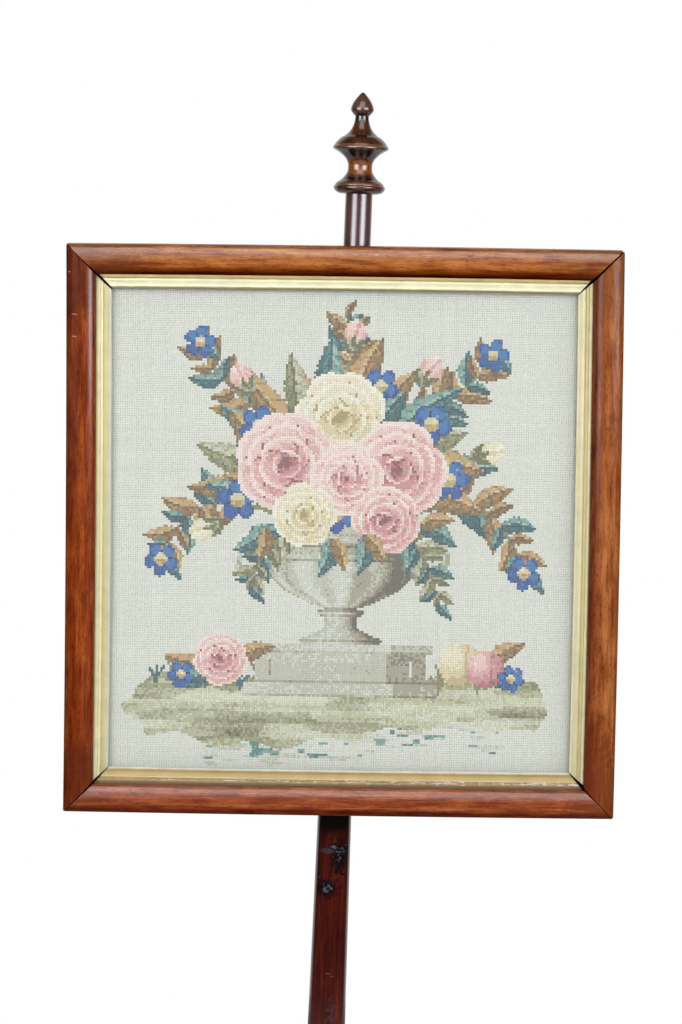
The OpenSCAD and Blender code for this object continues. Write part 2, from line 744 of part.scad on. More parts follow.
head_y = boss_end + 3 * face_gap;
head_step = 1;
head_r = boss_r - head_step;
head_t = 2.5;
wing_root = 1;
module thumbscrew() {
    color(brass) translate([0, 0, upper_z]) {
        along_y(screw_y - pin_len, screw_y + eps, pin_r);
        along_y(screw_y, head_y + eps, screw_r);
        along_y(head_y, head_y + head_t, head_r);
        translate([-wing_t / 2, head_y + head_t + wing_w / 2 - wing_root, 0])
            rotate([0, 90, 0]) linear_extrude(wing_t) {
                square([wing_span - wing_w, wing_w], center = true);
                for (s = [-1, 1]) translate([s * (wing_span - wing_w) / 2, 0]) circle(d = wing_w);
            }
    }
}

at_pole() finial();
at_pole() pole();
at_pole() column();
at_pole() leg(leg_turns[0]);  // leg_front
at_pole() leg(leg_turns[1]);  // leg_right
at_pole() leg(leg_turns[2]);  // leg_left
at_pole() spider_plate();
at_pole() spider_screws();
at_panel() rail(0);  // frame_bottom_rail
at_panel() rail(1);  // frame_left_stile
at_panel() rail(2);  // frame_top_rail
at_panel() rail(3);  // frame_right_stile
at_panel() mitre_nails(0);
at_panel() slip(0);  // slip_bottom
at_panel() slip(1);  // slip_left
at_panel() slip(2);  // slip_top
at_panel() slip(3);  // slip_right
at_panel() glass();
at_panel() needlework();
at_panel() strainer(0);  // strainer_bottom
at_panel() strainer(1);  // strainer_left
at_panel() strainer(2);  // strainer_top
at_panel() strainer(3);  // strainer_right
at_panel() canvas_tacks(0);
at_panel() backboard();
at_panel() backboard_brads(0);
at_pole() upper_bracket();
at_pole() lower_bracket();
at_pole() bracket_screws(0);
at_pole() leaf_spring();
at_pole() pressure_pad();
at_pole() thumbscrew();
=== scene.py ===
from math import cos, hypot, pi, radians, sin, sqrt

import bmesh
import bpy
import numpy as np
from mathutils import Matrix, Vector


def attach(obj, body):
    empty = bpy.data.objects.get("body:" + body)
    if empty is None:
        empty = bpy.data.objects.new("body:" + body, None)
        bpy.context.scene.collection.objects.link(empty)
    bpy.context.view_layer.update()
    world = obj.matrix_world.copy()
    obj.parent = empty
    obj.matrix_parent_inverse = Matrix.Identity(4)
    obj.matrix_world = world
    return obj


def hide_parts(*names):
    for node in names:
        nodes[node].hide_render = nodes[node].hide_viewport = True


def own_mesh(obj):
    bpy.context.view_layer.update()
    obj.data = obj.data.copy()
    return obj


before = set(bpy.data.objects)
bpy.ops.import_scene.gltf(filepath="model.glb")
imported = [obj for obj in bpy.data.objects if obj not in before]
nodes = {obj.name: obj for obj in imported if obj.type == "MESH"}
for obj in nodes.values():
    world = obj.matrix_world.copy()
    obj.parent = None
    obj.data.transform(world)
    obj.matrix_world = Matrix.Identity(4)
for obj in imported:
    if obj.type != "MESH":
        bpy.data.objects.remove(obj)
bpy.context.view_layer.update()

mm = 0.001
scene = bpy.context.scene


def linear(code):  # sRGB hex to the linear colour that the sockets take
    parts = [int(code[i:i + 2], 16) / 255 for i in (1, 3, 5)]
    return tuple(c / 12.92 if c <= 0.04045 else ((c + 0.055) / 1.055) ** 2.4 for c in parts) + (1.0,)


def addNode(tree, kind, inputs=None, stops=None, **settings):
    node = tree.nodes.new(kind)
    for key, value in settings.items():
        setattr(node, key, value)
    for key, value in (inputs or {}).items():
        if isinstance(value, bpy.types.NodeSocket):
            tree.links.new(value, node.inputs[key])
        else:
            node.inputs[key].default_value = value
    if stops:
        marks = node.color_ramp.elements
        while len(marks) < len(stops):
            marks.new(0.5)
        for mark, (place, code) in zip(marks, stops):
            mark.position = place
            mark.color = linear(code)
    return node


def addObject(name, data):
    thing = bpy.data.objects.new(name, data)
    scene.collection.objects.link(thing)
    return thing


def newMaterial(name, **sockets):
    material = bpy.data.materials.new(name)
    material.use_nodes = True
    shader = material.node_tree.nodes["Principled BSDF"]
    for key, value in sockets.items():
        shader.inputs[key.replace("_", " ")].default_value = value
    return material, material.node_tree, shader


# Short forms of the nodes that every finish uses; each gives back a socket


def objectPlace(tree):
    return addNode(tree, "ShaderNodeTexCoord").outputs["Object"]


def attribute(tree, name, output="Fac"):
    return addNode(tree, "ShaderNodeAttribute", attribute_name=name).outputs[output]


def maths(tree, operation, *values):
    return addNode(tree, "ShaderNodeMath", dict(enumerate(values)), operation=operation).outputs[0]


def vectors(tree, operation, *values, output=0):
    return addNode(tree, "ShaderNodeVectorMath", dict(enumerate(values)), operation=operation).outputs[output]


def remap(tree, value, span=(0, 1), result=(0, 1), **settings):
    names = ("Value", "From Min", "From Max", "To Min", "To Max")
    return addNode(tree, "ShaderNodeMapRange", dict(zip(names, (value, *span, *result))), **settings).outputs[0]


def mixLevel(tree, share, a, b):
    return addNode(tree, "ShaderNodeMix", {"Factor": share, "A": a, "B": b}, data_type="FLOAT").outputs[0]


def mixTone(tree, share, a, b, **settings):  # tones are sockets or hex codes
    a, b = (linear(tone) if isinstance(tone, str) else tone for tone in (a, b))
    mix = addNode(tree, "ShaderNodeMix", {"Factor": share, "A": a, "B": b}, data_type="RGBA", **settings)
    return mix.outputs["Result"]


def shade(tree, tone, level):
    return addNode(tree, "ShaderNodeVectorMath", {0: tone, "Scale": level}, operation="SCALE").outputs[0]


def ramp(tree, value, stops):
    return addNode(tree, "ShaderNodeValToRGB", {"Fac": value}, stops=stops).outputs[0]


def stretch(tree, place, sizeMm, turn, centre=(0, 0, 0)):  # space counted in marks of that size
    return addNode(tree, "ShaderNodeMapping", {
        "Vector": place, "Location": centre, "Rotation": turn, "Scale": [c * mm for c in sizeMm]},
        vector_type="TEXTURE").outputs[0]


def noise(tree, place, detail, sizeMm=None, **sockets):  # stretched space needs no size
    scale = 1 / (sizeMm * mm) if sizeMm else 1.0
    return addNode(tree, "ShaderNodeTexNoise", {"Vector": place, "Scale": scale, "Detail": detail,
                                                **sockets}).outputs["Fac"]


def finishWith(tree, shader, height, strength, depthMm, **sockets):
    bump = addNode(tree, "ShaderNodeBump", {"Height": height, "Strength": strength, "Distance": depthMm * mm})
    for key, socket in dict(sockets, Normal=bump.outputs[0]).items():
        tree.links.new(socket, shader.inputs[key.replace("_", " ")])
    return bump.outputs[0]


# Camera: where the photograph was taken from, a little rolled
cameraView = {
    "place": (0.00435, -2.59952, 1.36536),
    "pitch": 0.08315, "yaw": 0.00344, "roll": 0.03927,
    "focalPixels": 3078.28, "imageHeight": 1024, "sensor": 24.0,
}


def makeCamera():
    lens = bpy.data.cameras.new("photoCamera")
    lens.sensor_fit = "VERTICAL"
    lens.sensor_height = cameraView["sensor"]
    lens.lens = cameraView["focalPixels"] * cameraView["sensor"] / cameraView["imageHeight"]
    camera = addObject("photoCamera", lens)
    p, w, r = cameraView["pitch"], cameraView["yaw"], cameraView["roll"]
    ahead = Vector((-sin(w) * cos(p), cos(w) * cos(p), -sin(p)))
    right = Vector((cos(w), sin(w), 0))
    up = Vector((-sin(w) * sin(p), cos(w) * sin(p), cos(p)))
    right, up = cos(r) * right + sin(r) * up, cos(r) * up - sin(r) * right
    turn = Matrix((right, up, -ahead)).transposed().to_4x4()
    camera.matrix_world = Matrix.Translation(cameraView["place"]) @ turn
    scene.camera = camera


# Light: a softbox and a wider scrim at either side in front, a pale ceiling above, a white room behind
studio = {
    # place, aim, size, power and tint; a gloss lamp shows only in the polish, a fill lamp shows nowhere
    "lamps": {
        "softboxLeft": ((-1.32, -1.83, 1.22), (0, 0, 1.2), (1.15, 0.5), 13.5, "#f3f7ff", "light"),
        "scrimLeft": ((-1.34, -1.85, 1.22), (0, 0, 1.2), (2.2, 0.5), 12.5, "#f3f7ff", "light"),
        "softboxRight": ((1.54, -1.66, 1.4), (0, 0, 1.3), (1.15, 0.44), 13.5, "#f3f7ff", "light"),
        "scrimRight": ((1.56, -1.68, 1.4), (0, 0, 1.3), (2.3, 0.44), 12.5, "#f3f7ff", "light"),
        "ceiling": ((0.0, -2.0, 3.3), (0, 0, 1.37), (2.4, 2.3), 43, "#ffffff", "light"),
        "panelLeft": ((-1.32, -1.83, 1.95), (0, 0, 2.0), (1.5, 0.96), 36, "#f3f7ff", "gloss"),
        "panelRight": ((1.54, -1.66, 2.02), (0, 0, 2.0), (1.5, 0.8), 30, "#f3f7ff", "gloss"),
        "panelFront": ((0.0, -2.7, 2.02), (0, 0, 1.1), (2.4, 0.55), 4, "#ffffff", "gloss"),
        "backFill": ((0.7, 2.3, 1.9), (0, 0.05, 1.0), (1.6, 1.2), 40, "#ffffff", "fill"),
    },
    # how much of the room lights the object, and how much of its front and back shows in the polish
    "ambient": 0.12, "roomGloss": (0.04, 1.0), "roomTurns": (0.35, 0.75),
    "floorRadius": 3.0, "floorShow": (0.5, 1.6), "floor": "#e9e9e7",
}


def makeStudio():
    for name, (place, aim, size, power, tint, use) in studio["lamps"].items():
        lamp = bpy.data.lights.new(name, "AREA")
        lamp.shape = "RECTANGLE"
        lamp.size, lamp.size_y = size
        lamp.energy = power
        lamp.color = linear(tint)[:3]
        holder = addObject(name, lamp)
        holder.location = place
        holder.rotation_euler = (Vector(aim) - Vector(place)).to_track_quat("-Z", "Y").to_euler()
        holder.visible_diffuse = use != "gloss"
        if use == "fill":
            holder.visible_camera = holder.visible_glossy = holder.visible_transmission = False

    world = bpy.data.worlds.new("whiteRoom")
    world.use_nodes = True
    scene.world = world
    tree = world.node_tree
    tree.nodes.clear()
    rays = addNode(tree, "ShaderNodeLightPath").outputs
    glossy = rays["Is Glossy Ray"]
    facing = addNode(tree, "ShaderNodeTexCoord").outputs["Generated"]
    behind = addNode(tree, "ShaderNodeSeparateXYZ", {0: facing}).outputs["Y"]
    room = remap(tree, behind, studio["roomTurns"], studio["roomGloss"], interpolation_type="SMOOTHSTEP")
    seen = maths(tree, "MAXIMUM", rays["Is Camera Ray"], rays["Is Transmission Ray"])
    shown = maths(tree, "MAXIMUM", seen, maths(tree, "MULTIPLY", glossy, room))
    fill = maths(tree, "MULTIPLY", maths(tree, "SUBTRACT", 1.0, glossy), studio["ambient"])
    back = addNode(tree, "ShaderNodeBackground", {"Color": (1, 1, 1, 1),
                                                  "Strength": maths(tree, "MAXIMUM", shown, fill)})
    addNode(tree, "ShaderNodeOutputWorld", {"Surface": back.outputs[0]})

    sheet = bmesh.new()
    bmesh.ops.create_circle(sheet, cap_ends=True, segments=96, radius=studio["floorRadius"])
    mesh = bpy.data.meshes.new("floor")
    sheet.to_mesh(mesh)
    floor = addObject("floor", mesh)
    # Painted studio floor: matt and pale, fading into the white room away from the object
    material, tree, shader = newMaterial("paintedFloor", Base_Color=linear(studio["floor"]), Roughness=0.8)
    reach = vectors(tree, "LENGTH", objectPlace(tree), output="Value")
    fade = remap(tree, reach, studio["floorShow"], interpolation_type="SMOOTHSTEP")
    share = maths(tree, "MULTIPLY", fade, addNode(tree, "ShaderNodeLightPath").outputs["Is Camera Ray"])
    glow = addNode(tree, "ShaderNodeEmission", {"Color": (1, 1, 1, 1), "Strength": 1.0}).outputs[0]
    mix = addNode(tree, "ShaderNodeMixShader", {0: share, 1: shader.outputs[0], 2: glow})
    tree.links.new(mix.outputs[0], tree.nodes["Material Output"].inputs["Surface"])
    mesh.materials.append(material)


makeCamera()
makeStudio()
scene.view_settings.view_transform = "Standard"
print("camera and studio set")


# Meshes


def bend(a, b, c, steps=14):  # quadratic curve between two points
    a, b, c = np.array(a, float), np.array(b, float), np.array(c, float)
    return [tuple((1 - t) ** 2 * a + 2 * t * (1 - t) * b + t * t * c) for t in np.linspace(0, 1, steps)]


def bulge(r, low, high, depth, steps=14):  # half-round ring
    return [(r - depth + depth * cos(a), (low + high) / 2 + (high - low) / 2 * sin(a))
            for a in np.linspace(-pi / 2, pi / 2, steps)]


def turnedMesh(name, outline, segments, place):
    # outline runs from the axis below, outwards and up, to the axis above, in millimetres
    rings, points, faces = [], [], []
    for r, z in outline:
        start = len(points)
        count = 1 if r < 1e-6 else segments
        for k in range(count):
            a = 2 * pi * k / segments
            points.append(((place[0] + r * cos(a)) * mm, (place[1] + r * sin(a)) * mm, (place[2] + z) * mm))
        rings.append((start, count))
    for (a, m), (b, n) in zip(rings, rings[1:]):
        for k in range(segments):
            j = (k + 1) % segments
            if m > 1 and n > 1:
                faces.append((a + k, a + j, b + j, b + k))
            elif n > 1:
                faces.append((a, b + j, b + k))
            elif m > 1:
                faces.append((a + k, a + j, b))
    mesh = bpy.data.meshes.new(name)
    mesh.from_pydata(points, [], faces)
    mesh.validate()
    return smoothMesh(mesh, 38)


def smoothMesh(mesh, angle=32):
    mesh.shade_smooth()
    mesh.set_sharp_from_angle(angle=radians(angle))
    return mesh


def formMesh(name, form, turn):
    bmesh.ops.recalc_face_normals(form, faces=form.faces)
    bmesh.ops.transform(form, verts=form.verts, matrix=turn)
    mesh = bpy.data.meshes.new(name)
    form.to_mesh(mesh)
    form.free()
    return mesh


def addPiece(name, mesh, body, material, stands):
    piece = addObject(name, mesh)
    mesh.materials.clear()
    mesh.materials.append(material)
    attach(piece, body)
    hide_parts(*stands)
    return piece


def softEdges(piece, width, angle=32):
    bevel = piece.modifiers.new("softEdges", "BEVEL")
    bevel.width = width
    bevel.segments = 2
    bevel.limit_method = "ANGLE"
    bevel.angle_limit = radians(angle)
    bevel.harden_normals = True
    return piece


weldGap, flatAngle = 0.002 * mm, radians(0.5)
cadLayers = ("custom_normal", "sharp_edge", "sharp_face")


def dressNode(node, body, material, edge):
    # a merged copy of the node's solid, with its edges eased
    form = bmesh.new()
    form.from_mesh(nodes[node].data)
    bmesh.ops.remove_doubles(form, verts=form.verts, dist=weldGap)
    bmesh.ops.dissolve_limit(form, angle_limit=flatAngle, verts=form.verts, edges=form.edges)
    mesh = bpy.data.meshes.new(node + "Dressed")
    form.to_mesh(mesh)
    form.free()
    for layer in [a.name for a in mesh.attributes if a.name in cadLayers]:
        mesh.attributes.remove(mesh.attributes[layer])
    piece = addPiece(node + "Dressed", smoothMesh(mesh), body, material, [node])
    return softEdges(piece, edge) if edge else piece


# Finishes

# painted shade: the end faces inside an open mitre are coloured near black
mitreShadeTone = "#0a0605"  # inside an open mitre
midNoise = (0.3, 0.7)  # most of a noise lies between these
fibreShare, mottleShare, poreRim = 0.42, 0.34, 0.09  # in the colour of mahogany
markRim, markFade, markRoughness = 0.55, 0.4, 0.7


def polishedMahogany(name, look):
    # Mahogany, planed or turned and French polished: reddish brown with streaky figure,
    # short dark pores along the grain and a clear shellac gloss that is a little uneven
    material, tree, shader = newMaterial(
        name, Coat_Weight=look["coat"], Coat_Roughness=look["coatRoughness"], Coat_IOR=look["coatIor"],
        IOR=1.5, Specular_IOR_Level=0.0)
    place = objectPlace(tree)
    grain = {}
    for layer, (length, width, detail, swirl) in look["grainMm"].items():
        drawn = stretch(tree, place, (length, width, width), look["turn"], look["centre"])
        grain[layer] = noise(tree, drawn, detail, Roughness=0.55, Distortion=swirl)
    ribbon = mixLevel(tree, fibreShare, grain["figure"], grain["fibre"])
    wood = ramp(tree, mixLevel(tree, mottleShare, ribbon, grain["mottle"]), look["tones"])
    poreFrom = look["poreFrom"]
    pores = remap(tree, grain["pores"], (poreFrom, poreFrom + poreRim), (0, look["poreDark"]))
    colour = mixTone(tree, pores, wood, look["poreTone"])
    rough = remap(tree, grain["mottle"], midNoise, look["roughness"])
    if look.get("nicks"):
        # small pale dents, longer along the grain, each of its own size
        nicks, apart = look["nicks"], look["nicks"]["apartMm"]
        spread = stretch(tree, place, (2.5 * apart, apart, apart), look["turn"])
        cells = addNode(tree, "ShaderNodeTexVoronoi", {"Vector": spread, "Scale": 1.0}).outputs
        chance = addNode(tree, "ShaderNodeSeparateColor", {0: cells["Color"]}).outputs
        size = remap(tree, chance[0], (1 - nicks["share"], 1), (0, nicks["sizeMm"] / apart))
        inside = maths(tree, "GREATER_THAN", size, cells["Distance"])
        colour = mixTone(tree, inside, colour, mixTone(tree, chance[1], *nicks["tones"]))
    if look.get("edges"):
        # dirt and painted shade along the outer and the sight edge of a moulding, and painted shade, black, on
        # its end faces in the open mitres
        across = attribute(tree, "across")
        worn = mixTone(tree, 1.0, colour, ramp(tree, across, look["edges"]), blend_type="MULTIPLY")
        colour = mixTone(tree, attribute(tree, "mitreShade"), worn, mitreShadeTone)
        # polish rubbed off on one side of the moulding
        tree.links.new(remap(tree, across, *look["rubbed"]), shader.inputs["Coat Weight"])
    if look.get("marks"):
        # rubs, scratches, dirt, painted shade and painted sheen in the polish, each a patch with a ragged rim
        rag = noise(tree, place, 5.0, 4, Roughness=0.65)
        for spot, size, ragged, weight, tone, sparse in look["marks"]:
            scaled = vectors(tree, "MULTIPLY", vectors(tree, "SUBTRACT", place, spot),
                             [1 / (c * mm) for c in size])
            rim = maths(tree, "MULTIPLY_ADD", rag, ragged, vectors(tree, "LENGTH", scaled, output="Value"))
            start = ragged / 2 + markRim - sparse
            mask = remap(tree, rim, (start, start + markFade), (weight, 0))
            colour = mixTone(tree, mask, colour, tone)
            rough = mixLevel(tree, mask, rough, markRoughness)
    relief = maths(tree, "SUBTRACT", grain["fibre"], pores)
    bump = finishWith(tree, shader, relief, look["bump"], 0.15, Base_Color=colour, Roughness=rough)
    tree.links.new(bump, shader.inputs["Coat Normal"])
    return material


def waterGilding(name, look):
    # Gold leaf on red bole over gesso, burnished soft: a pale satin gold, thin at the arrises, with bands of
    # dirt, painted sheen and painted shade across it, and chips down to white gesso where it was knocked
    material, tree, shader = newMaterial(name, IOR=1.5)
    place = objectPlace(tree)
    across, run, mitreShade = (attribute(tree, key) for key in ("across", "along", "mitreShade"))
    leaf = noise(tree, place, 3.0, 14)
    fine = noise(tree, place, 3.0, 1.6)
    knocks = noise(tree, stretch(tree, place, (9, 1.5, 1.5), look["turn"], panelCentre), 4.0, Roughness=0.65)
    # bands of gold, dirt, painted sheen and painted shade across the slip, their limits a little unsteady
    unsteady = maths(tree, "MULTIPLY_ADD", knocks, look["unsteady"], across)
    band = ramp(tree, maths(tree, "SUBTRACT", unsteady, look["unsteady"] / 2), look["bands"])
    gold = shade(tree, band, remap(tree, leaf, midNoise, (0.9, 1.06)))
    # chips follow the slip's length, mostly in one band across it, and may grow in number along it
    zoned = maths(tree, "MULTIPLY", knocks, ramp(tree, across, look["chipZone"]))
    grown = maths(tree, "MULTIPLY_ADD", run, look["chipRise"], zoned)
    chip, bole = (remap(tree, grown, [look["chipFrom"] + step for step in look[rim]])
                  for rim in ("chipRim", "boleRim"))
    chipped = mixTone(tree, chip, mixTone(tree, bole, gold, look["bole"]), look["gesso"])
    # the end faces in the open mitres take the painted shade
    finishWith(tree, shader, maths(tree, "SUBTRACT", fine, chip), 0.25, 0.2,
               Base_Color=mixTone(tree, mitreShade, chipped, mitreShadeTone),
               Metallic=remap(tree, bole, result=(look["metal"], 0)),
               Roughness=remap(tree, fine, midNoise, look["roughness"]))
    return material


def woolStitch():
    # Dyed wool worked in cross stitch: matt, with a faint bloom of fibres and uneven dye
    material, tree, shader = newMaterial("woolStitch", Roughness=0.92, Sheen_Weight=0.25, Sheen_Roughness=0.5,
                                         Specular_IOR_Level=0.15)
    fibre = noise(tree, objectPlace(tree), 2.0, 0.7)
    level = remap(tree, fibre, (0.25, 0.75), (0.88, 1.1))
    finishWith(tree, shader, fibre, 0.3, 0.2, Base_Color=shade(tree, attribute(tree, "wool", "Color"), level))
    return material


def canvasAndShade():
    # Double-thread cotton canvas, pale threads with dark holes between them, toned dark grey-green all over as
    # painted shade between the stitches
    material, tree, shader = newMaterial("canvasAndShade", Roughness=0.9, Specular_IOR_Level=0.15)
    thread = noise(tree, objectPlace(tree), 2.0, 0.9)
    tone = ramp(tree, thread, [(0.3, "#64685d"), (0.7, "#8f9488")])
    finishWith(tree, shader, thread, 0.3, 0.2, Base_Color=tone)
    return material


def windowGlass():
    # Thin old window glass: clear, all but unseen from the front, with a faint green in the edge
    material, tree, shader = newMaterial("windowGlass", Base_Color=linear("#eef4f0"), Roughness=0.03, IOR=1.5,
                                         Alpha=0.05)
    finishWith(tree, shader, noise(tree, objectPlace(tree), 1.0, 60), 0.1, 1)
    return material


def agedDeal(name, turn):
    # Planed pine gone brown with age: broad soft grain, darker latewood lines, dust and stains
    material, tree, shader = newMaterial(name, IOR=1.5, Specular_IOR_Level=0.3)
    place = objectPlace(tree)
    rings = noise(tree, stretch(tree, place, (220, 7, 7), turn), 4.0, Distortion=0.8)
    stain = noise(tree, place, 4.0, 55)
    tone = ramp(tree, mixLevel(tree, 0.4, rings, stain), [
        (0.3, "#5e4024"), (0.46, "#86623a"), (0.58, "#a17c4e"), (0.72, "#b39063")])
    finishWith(tree, shader, rings, 0.3, 0.4, Base_Color=tone,
               Roughness=remap(tree, stain, result=(0.65, 0.95)))
    return material


def agedMetal(name, tones, roughness, metallic, grainMm):
    # Cast, filed or forged metal that has dulled: patina in soft clouds over a worn, brighter ground
    material, tree, shader = newMaterial(name, Metallic=metallic)
    place = objectPlace(tree)
    cloud = noise(tree, place, 5.0, 9, Roughness=0.6)
    finishWith(tree, shader, noise(tree, place, 3.0, grainMm), 0.2, 0.15, Base_Color=ramp(tree, cloud, tones),
               Roughness=remap(tree, cloud, midNoise, roughness[::-1]))
    return material


brass = agedMetal("agedBrass", [(0.3, "#4a3617"), (0.5, "#86682f"), (0.7, "#b6954c")], (0.3, 0.55), 1.0, 0.8)
iron = agedMetal("blackIron", [(0.3, "#1d1a18"), (0.55, "#34302d"), (0.75, "#4d4037")], (0.5, 0.75), 0.6, 1.5)
steel = agedMetal("dullSteel", [(0.3, "#2d2723"), (0.55, "#4c463f"), (0.75, "#6b655c")], (0.45, 0.7), 0.8, 0.9)

poleAxis = (0.0, 52.0, 0.0)
along = {"x": (0, 0, 0), "z": (0, -pi / 2, 0)}

turnedGrain = {"figure": (160, 7, 3.0, 0.4), "fibre": (45, 1.4, 3.0, 0.2), "mottle": (40, 14, 3.0, 0.3),
               "pores": (10, 0.8, 2.0, 0.0)}  # pores are drawn twice as wide as real ones, to show

poleLook = {
    "grainMm": turnedGrain, "centre": (0, 0.052, 0), "turn": along["z"],
    "tones": [(0.32, "#1c0402"), (0.44, "#340905"), (0.55, "#4d1509"), (0.68, "#742a11")],
    "poreFrom": 0.6, "poreDark": 0.5, "poreTone": "#1a0402", "roughness": (0.3, 0.5), "bump": 0.05,
    "coat": 1.0, "coatRoughness": 0.1, "coatIor": 1.65,
    # a painted sheen at the top, a painted shadow under the frame by the lower collar, and knocks: each mark's
    # place, reach in mm, raggedness of the rim, weight and tone, and how far it breaks up
    "marks": [
        # painted sheen at the top of the pole
        ((0.0, 0.052, 1.405), (90, 90, 75), 0.9, 0.42, "#765f60", 0),
        # painted shadow under the frame and its lower collar
        ((0.0, 0.04, 0.888), (40, 40, 30), 0.5, 1.0, "#050101", 0),
        ((0.007, 0.038, 0.846), (11, 13, 17), 3.0, 0.94, "#080304", -0.1),
        ((0.007, 0.038, 0.847), (12, 12, 16), 6, 0.6, "#66707e", 0.75),
        ((-0.006, 0.039, 0.850), (10, 9, 2.6), 1.6, 0.7, "#3a4048", 0),
        ((-0.005, 0.037, 0.8175), (12, 12, 8.5), 3.0, 0.94, "#080304", -0.1),
        ((-0.006, 0.037, 0.818), (11, 12, 9), 6, 0.55, "#66707e", 0.75),
        ((-0.016, 0.04, 0.752), (3, 8, 9), 1.2, 0.7, "#1a0d0a", 0),
        ((0.005, 0.037, 0.785), (2.2, 5, 2), 0.8, 0.6, "#1a0b08", 0),
        ((-0.0005, 0.036, 0.7425), (3.4, 8, 0.7), 1.6, 0.4, "#a2603a", 0),
        ((0.0035, 0.036, 0.740), (3.0, 8, 0.6), 1.6, 0.35, "#a2603a", 0),
        ((0.004, 0.036, 0.705), (10, 14, 26), 4, 0.35, "#5a3a40", 0.5),
    ],
}
# painted shade in the quirks and under the bud, rim and ring, and painted sheen on the bud, neck, rim face,
# waist and ring face: height, reach in mm, weight and tone
finialShadeAndSheen = [(1.4965, 8.0, 0.55, "#6e4a38"), (1.4838, 2.8, 1.0, "#070202"), (1.475, 6.0, 0.3, "#7a3c14"),
               (1.4672, 1.3, 0.95, "#080303"), (1.4588, 2.2, 0.6, "#8a6046"), (1.4528, 4.2, 1.0, "#070202"),
               (1.4402, 7.0, 0.65, "#a0591f"), (1.4310, 1.3, 0.9, "#080303"), (1.4262, 2.0, 0.5, "#8a6046"),
               (1.4215, 1.0, 0.8, "#0c0403"), (1.4185, 2.2, 1.0, "#070202")]
finialLook = dict(poleLook, tones=[(0.3, "#1e0c05"), (0.45, "#371909"), (0.58, "#552a11"), (0.72, "#743f1b")],
                  marks=[((0, 0.052, z), (90, 90, reach), 0.7, weight, tone, 0)
                         for z, reach, weight, tone in finialShadeAndSheen],
                  poreDark=0.25, coatRoughness=0.2, coatIor=1.7)
standLook = dict(poleLook, tones=[(0.3, "#2c0a05"), (0.45, "#481509"), (0.58, "#602211"), (0.72, "#7c3a1d")],
                 marks=None, coatRoughness=0.12)


# Pole, finial and stand: turned work

pole = {"top": 1418.0, "foot": 446.0, "dTop": 23.2, "dFoot": 37.8, "flare": 1.45, "tenonR": 12.0,
        "tenonLen": 70.0, "boreR": 5.05, "boreLen": 24.3, "gap": 0.05, "segments": 96, "steps": 90}


def poleRadius(z):
    share = (pole["top"] - z) / (pole["top"] - pole["foot"])
    return (pole["dTop"] + (pole["dFoot"] - pole["dTop"]) * max(share, 0) ** pole["flare"]) / 2


def makePole():
    low = pole["foot"] + pole["gap"]
    outline = [(0, low - pole["tenonLen"]), (pole["tenonR"], low - pole["tenonLen"]), (pole["tenonR"], low)]
    outline += [(poleRadius(z), z) for z in np.linspace(low, pole["top"], pole["steps"])]
    outline += [(pole["boreR"], pole["top"]), (pole["boreR"], pole["top"] - pole["boreLen"]),
                (0, pole["top"] - pole["boreLen"])]
    mesh = turnedMesh("turnedPole", outline, pole["segments"], poleAxis)
    addPiece("turnedPole", mesh, "pole", polishedMahogany("turnedMahogany", poleLook),
             ["pole"])


finial = {"ring": 22.1, "rim": 23.9, "waist": 10.4, "neck": 5.8, "bud": 9.8, "ringIn": 17.8, "rimIn": 16.5,
          "seat": 12.3, "step": 0.8, "round": 1.2, "tip": 1.5, "ringUnder": 5.4, "ringFace": 5.6,
          "lowCove": 10.0, "waistH": 3.5, "highCove": 15.0, "rimFace": 9.0, "bell": 17.2, "budH": 21.1,
          "spigotR": 5.0, "spigotLen": 24.0, "segments": 96,
          "budWide": 0.3, "budBelow": 0.215, "budAbove": 0.58, "bellTurn": 0.3}  # shares of bud and bell


def makeFinial():
    f, e, s = finial, finial["round"], finial["step"]
    ringZ = f["ringUnder"]
    ringStep = ringZ + f["ringFace"]
    waistZ = ringStep + f["lowCove"]
    coveZ = waistZ + f["waistH"]
    rimZ = coveZ + f["highCove"]
    rimStep = rimZ + f["rimFace"]
    budZ = rimStep + f["bell"]
    wideZ = budZ + f["budWide"] * f["budH"]
    top = budZ + f["budH"]

    def flange(r, z, inR, inZ):  # a rounded arris and the sloping face above it, up to its fillet
        return (bend((r - e / 3, z - e), (r + e / 3, z), (r - e / 2, z + 1.2 * e))
                + bend((r - e, z + 1.6 * e), ((r + inR) / 2 + e, (z + inZ) / 2 + e / 3), (inR, inZ)))

    outline = [(0, -f["spigotLen"]), (f["spigotR"], -f["spigotLen"]), (f["spigotR"], 0), (f["seat"], 0)]
    outline += bend((f["seat"] + s, 0), (f["ring"] - 2 * e, 0), (f["ring"] - e / 2, ringZ - 1.5 * e))
    outline += flange(f["ring"], ringZ, f["ringIn"], ringStep)
    outline += bend((f["ringIn"] - s, ringStep + s / 3), (f["waist"] + s, ringStep + f["lowCove"] / 2),
                    (f["waist"], waistZ))
    outline += bend((f["waist"], coveZ), (f["waist"] + s, coveZ + f["highCove"] / 2),
                    (f["rim"] - e, rimZ - 1.5 * e))
    outline += flange(f["rim"], rimZ, f["rimIn"], rimStep)
    outline += bend((f["rimIn"] - s, rimStep + s / 3), (f["neck"] + e, rimStep + f["bellTurn"] * f["bell"]),
                    (f["neck"], budZ - s))
    outline += bend((f["neck"], budZ + s), (f["bud"] + s / 3, budZ + f["budBelow"] * f["budH"]),
                    (f["bud"], wideZ))
    outline += bend((f["bud"], wideZ), (f["bud"] - s / 3, budZ + f["budAbove"] * f["budH"]),
                    (f["tip"], top - s))[1:]
    outline += [(0, top)]
    place = (poleAxis[0], poleAxis[1], pole["top"] + pole["gap"])
    mesh = turnedMesh("turnedFinial", outline, f["segments"], place)
    addPiece("turnedFinial", mesh, "finial", polishedMahogany("finialMahogany", finialLook),
             ["finial"])


